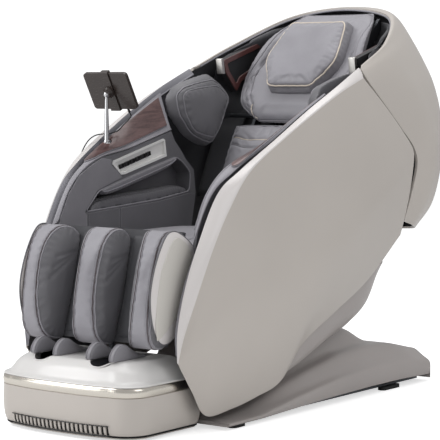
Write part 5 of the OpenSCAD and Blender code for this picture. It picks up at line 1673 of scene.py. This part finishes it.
def make_seat():
    rows = [[[x, y, SEAT_Z] for x in (-w, -w / 3, w / 3, w)] for y, w in SEAT_WIDTHS]
    pad = Pad(rows, SEAT_EDGE, SEAT_CROWN)
    obj = pad_piece("seat_pad", pad, HIDE, "pod", ["seat_cushion"], voxel=6.0, cap=6.0)
    for k, v in enumerate((0.2, 0.8)):
        seam = [(0.01, v), (0.3, v), (0.7, v), (0.98, v)]
        sewn_line("seat_seam_%d" % k, obj, pad, seam, CORD_GREY, "pod", 1.6, 3.5, 5.0, stitch=5.0)
    for k, u in enumerate((0.3, 0.7)):
        seam = [(u, 0.2), (u + 0.015, 0.5), (u, 0.8)]
        sewn_line("seat_cross_%d" % k, obj, pad, seam, CORD_GREY, "pod", 1.2, 3.0, 5.0, stitch=4.0)
    ways = [[0, -1, 0.7]] * 60
    piping(obj, "seat_front_piping", line(SEAT_FRONT, 60), ways, 2.2, CORD_GREY, "pod", 0.8)


EDGE_LOOP = [(0, 0.1), (0, 0.5), (0, 0.9), (0.1, 1), (0.5, 1), (0.9, 1), (1, 0.9), (1, 0.5), (1, 0.1),
             (0.9, 0), (0.5, 0), (0.1, 0)]


def edge_piping(name, obj, pad, inset, count=160):
    """Piping that runs round a pad a little inside its border, and its path."""
    uv = ring(np.clip(EDGE_LOOP, inset, 1 - inset), count)
    return piping(obj, name, *pad.ways_out(uv), 1.9, CORD_GREY, "backrest", 0.76, (1.5, 3.0), True)[0]


BACK_ANGLES, BACK_EDGE, BACK_CROWN = (15.2, 19, 23, 26.5, 29, 30.6), 14, 20
CREAM_LINE = [(0.765, 0.02), (0.74, 0.12), (0.70, 0.27), (0.70, 0.5), (0.70, 0.73), (0.74, 0.88),
              (0.765, 0.98)]


def make_back():
    rows = [[spine(x, CUSHION_R, a) for x in (-205, -120, 0, 120, 205)] for a in BACK_ANGLES]
    pad = Pad(rows, BACK_EDGE, BACK_CROWN)
    obj = pad_piece("back_pad", pad, HIDE, "backrest", ["back_cushion"], voxel=5.0, cap=5.0)
    edge = edge_piping("back_edge_piping", obj, pad, 0.035)
    pucker(obj, [edge], 24.0, 1.0, 16.0)
    sewn_line("back_cream_line", obj, pad, CREAM_LINE, CORD_CREAM, "backrest", 1.5, 3.2, 5.0, count=90)
    dark = [(u - 0.085, v) for u, v in CREAM_LINE]
    sewn_line("back_dark_line", obj, pad, dark, HIDE_SHADED, "backrest", 1.3, 3.0, 4.5, count=90)
    folds = [land(obj, *pad.seam([(0.74, v), (0.86, v + 0.012 * (-1) ** k), (0.97, v)], 24))[0]
             for k, v in enumerate((0.33, 0.42, 0.52, 0.63, 0.71))]
    groove(obj, folds, 2.2, 8.0)
    for k, u in enumerate((0.2, 0.42)):
        seam = [(u, 0.05), (u - 0.02, 0.3), (u - 0.02, 0.7), (u, 0.95)]
        sewn_line("back_low_seam_%d" % k, obj, pad, seam, HIDE_SHADED, "backrest", 1.2, 3.0, 5.0)


HEAD_EDGE, HEAD_CROWN = 30, 4
HEAD_ROWS = [[30.9, 112, 43], [32.2, 165, 46], [33.8, 212, 56], [37, 224, 66], [40, 205, 88],
             [43.5, 186, 88], [47, 160, 66], [49.6, 128, 50]]
PILLOW_ROWS = [[34.6, 87], [36.5, 110], [39, 136], [42, 128], [45.7, 108]]


def make_head():
    rows = [[spine(-h, e, a), spine(-0.82 * h, 44.6, a), spine(0, 42, a), spine(0.82 * h, 44.6, a),
             spine(h, e, a)]
            for a, h, e in HEAD_ROWS]
    pad = Pad(rows, HEAD_EDGE, HEAD_CROWN)
    obj = pad_piece("head_pad", pad, HIDE, "backrest", ["head_cushion"], voxel=4.6, cap=5.0)
    edge = edge_piping("head_edge_piping", obj, pad, 0.03, 200)
    pucker(obj, [edge], 26.0, 0.35, 14.0)
    for k, side in enumerate((-1, 1)):
        def at(u, v):
            return (u, 0.5 + side * v)
        cream = [at(0.02, 0.42), at(0.12, 0.31), at(0.22, 0.22)]
        sewn_line("head_cream_%d" % k, obj, pad, cream, CORD_CREAM, "backrest", 1.6, 2.4, 3.5, count=40)
        inner = [at(0.22, 0.22), at(0.4, 0.24), at(0.6, 0.26)]
        sewn_line("head_inner_%d" % k, obj, pad, inner, HIDE_SHADED, "backrest", 1.3, 3.2, 4.5)
        for j, u in enumerate((0.15, 0.27, 0.40, 0.53)):
            channel = [at(u, 0.26), at(u + 0.06, 0.34), at(u + 0.10, 0.42)]
            name = "head_channel_%d_%d" % (k, j)
            sewn_line(name, obj, pad, channel, HIDE_SHADED, "backrest", 1.0, 2.6, 6.0, count=30)


FACE_REACH = 0.009
PILLOW_FACE = [(0.04, 0.05), (0.04, 0.95), (0.42, 0.975), (0.95, 0.955), (0.95, 0.045), (0.42, 0.025)]


def make_pillow():
    """Hexagonal head pillow with a cream piped front face, and walls in the shaded hide as painted shade.
    """
    r = CUSHION_R + HEAD_EDGE + HEAD_CROWN + 0.6
    rows = [[spine(x * h, r, a) for x in (-1, -0.5, 0, 0.5, 1)] for a, h in PILLOW_ROWS]
    pad = Pad(rows, 44, 8, roll=26)
    obj = pad_piece("head_rest", pad, HIDE, "backrest", ["head_pillow"], voxel=3.8, cap=4.0,
                    rounds=3)
    starts, ways = closed_seam(pad, PILLOW_FACE, 6, 5)
    path, _ = land(obj, starts, ways)
    groove(obj, [np.concatenate([path, path[:1]])], 1.6, 2.6)
    pucker(obj, [path], 19.0, 0.9, 13.0)
    piping(obj, "pillow_piping", starts, ways, 2.3, CORD_CREAM, "backrest", 1.0, closed=True)
    # Faces off the front face take the shaded hide: painted shade on the walls.
    obj.data.materials.append(HIDE_SHADED)
    across_u, across_v = np.linspace(0.04, 0.95, 16), np.linspace(0.04, 0.96, 16)
    u, v = (g.ravel() for g in np.meshgrid(across_u, across_v, indexing="ij"))
    front = BVHTree.FromPolygons([tuple(p) for p in pad.top(u, v) * MM], skin_faces(16, 16))
    slots = [int(front.find_nearest(f.center, FACE_REACH)[0] is None) for f in obj.data.polygons]
    set_slots(obj, slots)


WING_ROWS = [[[268, 220, 740], [268, 166, 752], [266, 108, 776]],
             [[270, 268, 796], [272, 180, 802], [272, 82, 806]],
             [[272, 306, 852], [276, 190, 856], [278, 52, 842]],
             [[272, 322, 902], [278, 190, 905], [282, 44, 893]],
             [[272, 236, 972], [276, 150, 955], [280, 70, 930]]]


def make_shoulders():
    """Shoulder massage pads on the inner wall of the backrest, with double piping."""
    pad = Pad(WING_ROWS, 24, 34, roll=12)
    obj = pad_piece("shoulder_left", pad, HIDE_DARK, "backrest", voxel=4.4, cap=6.0)
    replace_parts(obj, "shoulder_pad_left")
    loops = []
    for inset, r, cut in ((0.05, 2.1, 2.4), (0.115, 1.9, 2.2)):
        a, b = inset, 1 - inset
        starts, ways = closed_seam(pad, ((a, a), (a, b), (b, b), (b, a)), 14, 6)
        path, _ = land(obj, starts, ways)
        groove(obj, [np.concatenate([path, path[:1]])], cut, 3.0)
        loops.append((starts, ways, r))
    pucker(obj, [land(obj, loops[1][0], loops[1][1])[0]], 22.0, 0.9, 15.0)
    placed = [(*land(obj, starts, ways), r) for starts, ways, r in loops]
    twin = mirror_copy(obj, "shoulder_right", "backrest")
    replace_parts(twin, "shoulder_pad_right")
    for side, tag in SIDES:
        flip = np.array([side, 1, 1])
        for k, (path, normals, r) in enumerate(placed):
            bead("shoulder_piping_%s_%d" % (tag, k), (path + normals * 0.8) * flip, r, CORD_GREY,
                 "backrest", closed=True)


SPEAKER_FACE = [[300, 975], [358, 914], [382, 946], [526, 1006], [552, 1074], [506, 1080], [288, 1014]]
SPEAKER_INNER = [[319, 979], [356, 940], [374, 962], [512, 1020], [528, 1058], [505, 1062], [308, 1003]]
SPEAKER_MESH = [[314, 978], [356, 934], [377, 958], [515, 1016], [533, 1062], [506, 1067], [303, 1006]]
SPEAKER_END = [[283, 970], [296, 970], [288, 1020], [275, 1018]]
FRAME_X, END_X, MESH_X = (238.5, 243.5), (238.5, 262), (243.0, 244.4)


def make_speakers():
    """Lacquered frame round each speaker grille and its pale metal end."""
    lips = [corner_round(SPEAKER_FACE, 8), corner_round(SPEAKER_INNER, 6)]
    boards = (("frame", lips, FRAME_X, REDWOOD, 1.6),
              ("end", [corner_round(SPEAKER_END, 3)], END_X, SILVER, 1.5),
              ("mesh", [corner_round(SPEAKER_MESH, 6)], MESH_X, GRILLE, 0.3))
    for side, tag in SIDES:
        for part, outlines, (x0, x1), material, rounded in boards:
            name = "speaker_%s_%s" % (part, tag)
            plate_yz(name, outlines, side * x0, side * x1, material, "backrest", rounded)


make_seat()
make_speakers()
make_back()
make_head()
make_pillow()
make_shoulders()


def make_gap_shades():
    """Dark sheet of liner cloth that closes the gap between the back cushion and each arm: painted shade in
    that gap.
    """
    rows = np.array([[spine(x, -8, a) for x in np.linspace(226, 324, 9)] for a in np.linspace(21, 37, 15)])
    obj = sheet("back_gap_shade_left", rows, rows + grid_normals(rows) * GAP_SHADE_T, LINER, "backrest")
    mirror_copy(obj, "back_gap_shade_right", "backrest")


make_gap_shades()


# ---- Back lining ---------------------------------------------------------
LINING_ROWS = [
    [[HW - 62, 448, 582], [HW - 120, 398, 567], [180, 305, 552], spine(0, -50, 20)],
    [[HW - 50, 470, 700], [HW - 118, 420, 695], [185, 372, 690], spine(0, -50, 27)],
    [[HW - 55, 366, 855], [HW - 130, 404, 860], [200, 452, 850], spine(0, -50, 35)],
    [[HW - 80, 330, 955], [HW - 104, 480, 985], [215, 560, 970], spine(0, -48, 41.5)],
    [[HW - 112, 334, 1020], [HW - 138, 450, 1060], [205, 580, 1050], spine(0, -30, 46.5)],
    [[HW - 142, 444, 1068], [HW - 168, 540, 1112], [150, 610, 1132], [0, 640, 1146]]]


def make_back_lining():
    grid = patch([mirrored_row(r) for r in LINING_ROWS], 40, 90)
    obj = sheet("back_liner", grid, grid - grid_normals(grid) * LINING_T, LINER, "backrest")
    finish_shell(obj, "back_lining", 0.002, 2)
    bead("liner_edge", grid[-1, 3:-3], 3.0, HIDE_DARK, "backrest")


make_back_lining()


# ---- Finishes of the parts whose shape is already right -------------------
dress(HIDE_DARK, "arm_lining_left", "arm_lining_right")
# The leg rest frame in the dark liner cloth: painted shade in the channels between the columns.
dress(LINER, "calf_frame")
dress(TRAY_WHITE, "control_tray")
dress(BLACK, "key_1", "key_2", "key_3", "key_4", "key_5", "key_6", "power_inlet", "cable_plug")
dress(STEEL, "base_chassis", "seat_frame", "back_rails", "massage_carriage")
dress(RUBBER, "base_feet")
dress(RED, "power_switch")
dress(CHROME, "stand_post", "stand_collar")
dress(TABLET_BACK, "tablet_clamp", "tablet")
dress(SCREEN, "tablet_screen")
dress(GRILLE, "speaker_left", "speaker_right")
dress(ROLLER, "kneading_arm_left", "kneading_arm_right", "foot_roller_front", "foot_roller_rear")


# ---- Floor and light -------------------------------------------------------
FLOOR_GLOW = 0.62


def make_floor():
    """Wide pale ground that glows a little to the camera alone."""
    mesh = bpy.data.meshes.new("floor")
    mesh.from_pydata([(-40, -40, 0), (40, -40, 0), (40, 60, 0), (-40, 60, 0)], [], [[0, 1, 2, 3]])
    floor = place_object("floor", mesh)
    material, net, surface = new_material("white_floor")
    set_values(surface, Base_Color=(0.85, 0.85, 0.85, 1), Roughness=0.9, Specular_IOR_Level=0.0,
               Emission_Color=(1, 1, 1, 1))
    seen = net.node("ShaderNodeLightPath").outputs["Is Camera Ray"]
    net.feed(surface["Emission Strength"], net.maths("MULTIPLY", seen, FLOOR_GLOW))
    mesh.materials.append(material)


def area_light(name, place, target, size, power):
    data = bpy.data.lights.new(name, "AREA")
    data.shape = "RECTANGLE"
    data.size, data.size_y = size
    data.energy = power
    lamp = place_object(name, data)
    lamp.location = place
    way = Vector(target) - Vector(place)
    lamp.rotation_euler = way.to_track_quat("-Z", "Y").to_euler()


def make_world():
    world = bpy.data.worlds.new("white_room")
    bpy.context.scene.world = world
    world.use_nodes = True
    net = Net(world.node_tree)
    back = world.node_tree.nodes["Background"]
    set_values(back.inputs, Color=(0.95, 0.955, 0.965, 1), Strength=0.50)
    seen = net.node("ShaderNodeBackground", Color=(1, 1, 1, 1), Strength=1.15)
    path = net.node("ShaderNodeLightPath")
    mix = net.node("ShaderNodeMixShader")
    net.feed(mix.inputs[0], path.outputs["Is Camera Ray"])
    net.feed(mix.inputs[1], back.outputs[0])
    net.feed(mix.inputs[2], seen.outputs[0])
    net.feed(world.node_tree.nodes["World Output"].inputs["Surface"], mix.outputs[0])


make_floor()
make_world()
area_light("key", (-2.6, -3.0, 3.4), (0, 0, 0.5), (2.4, 2.0), 74)
area_light("side", (4.0, -0.8, 3.0), (0, 0, 0.5), (2.2, 2.6), 27)
area_light("fill", (-2.4, -3.9, 0.9), (0, -0.3, 0.5), (2.6, 1.4), 24)
area_light("top", (0, 0.4, 4.4), (0, 0, 0.5), (3.0, 3.0), 62)
bpy.context.scene.view_settings.view_transform = "Standard"
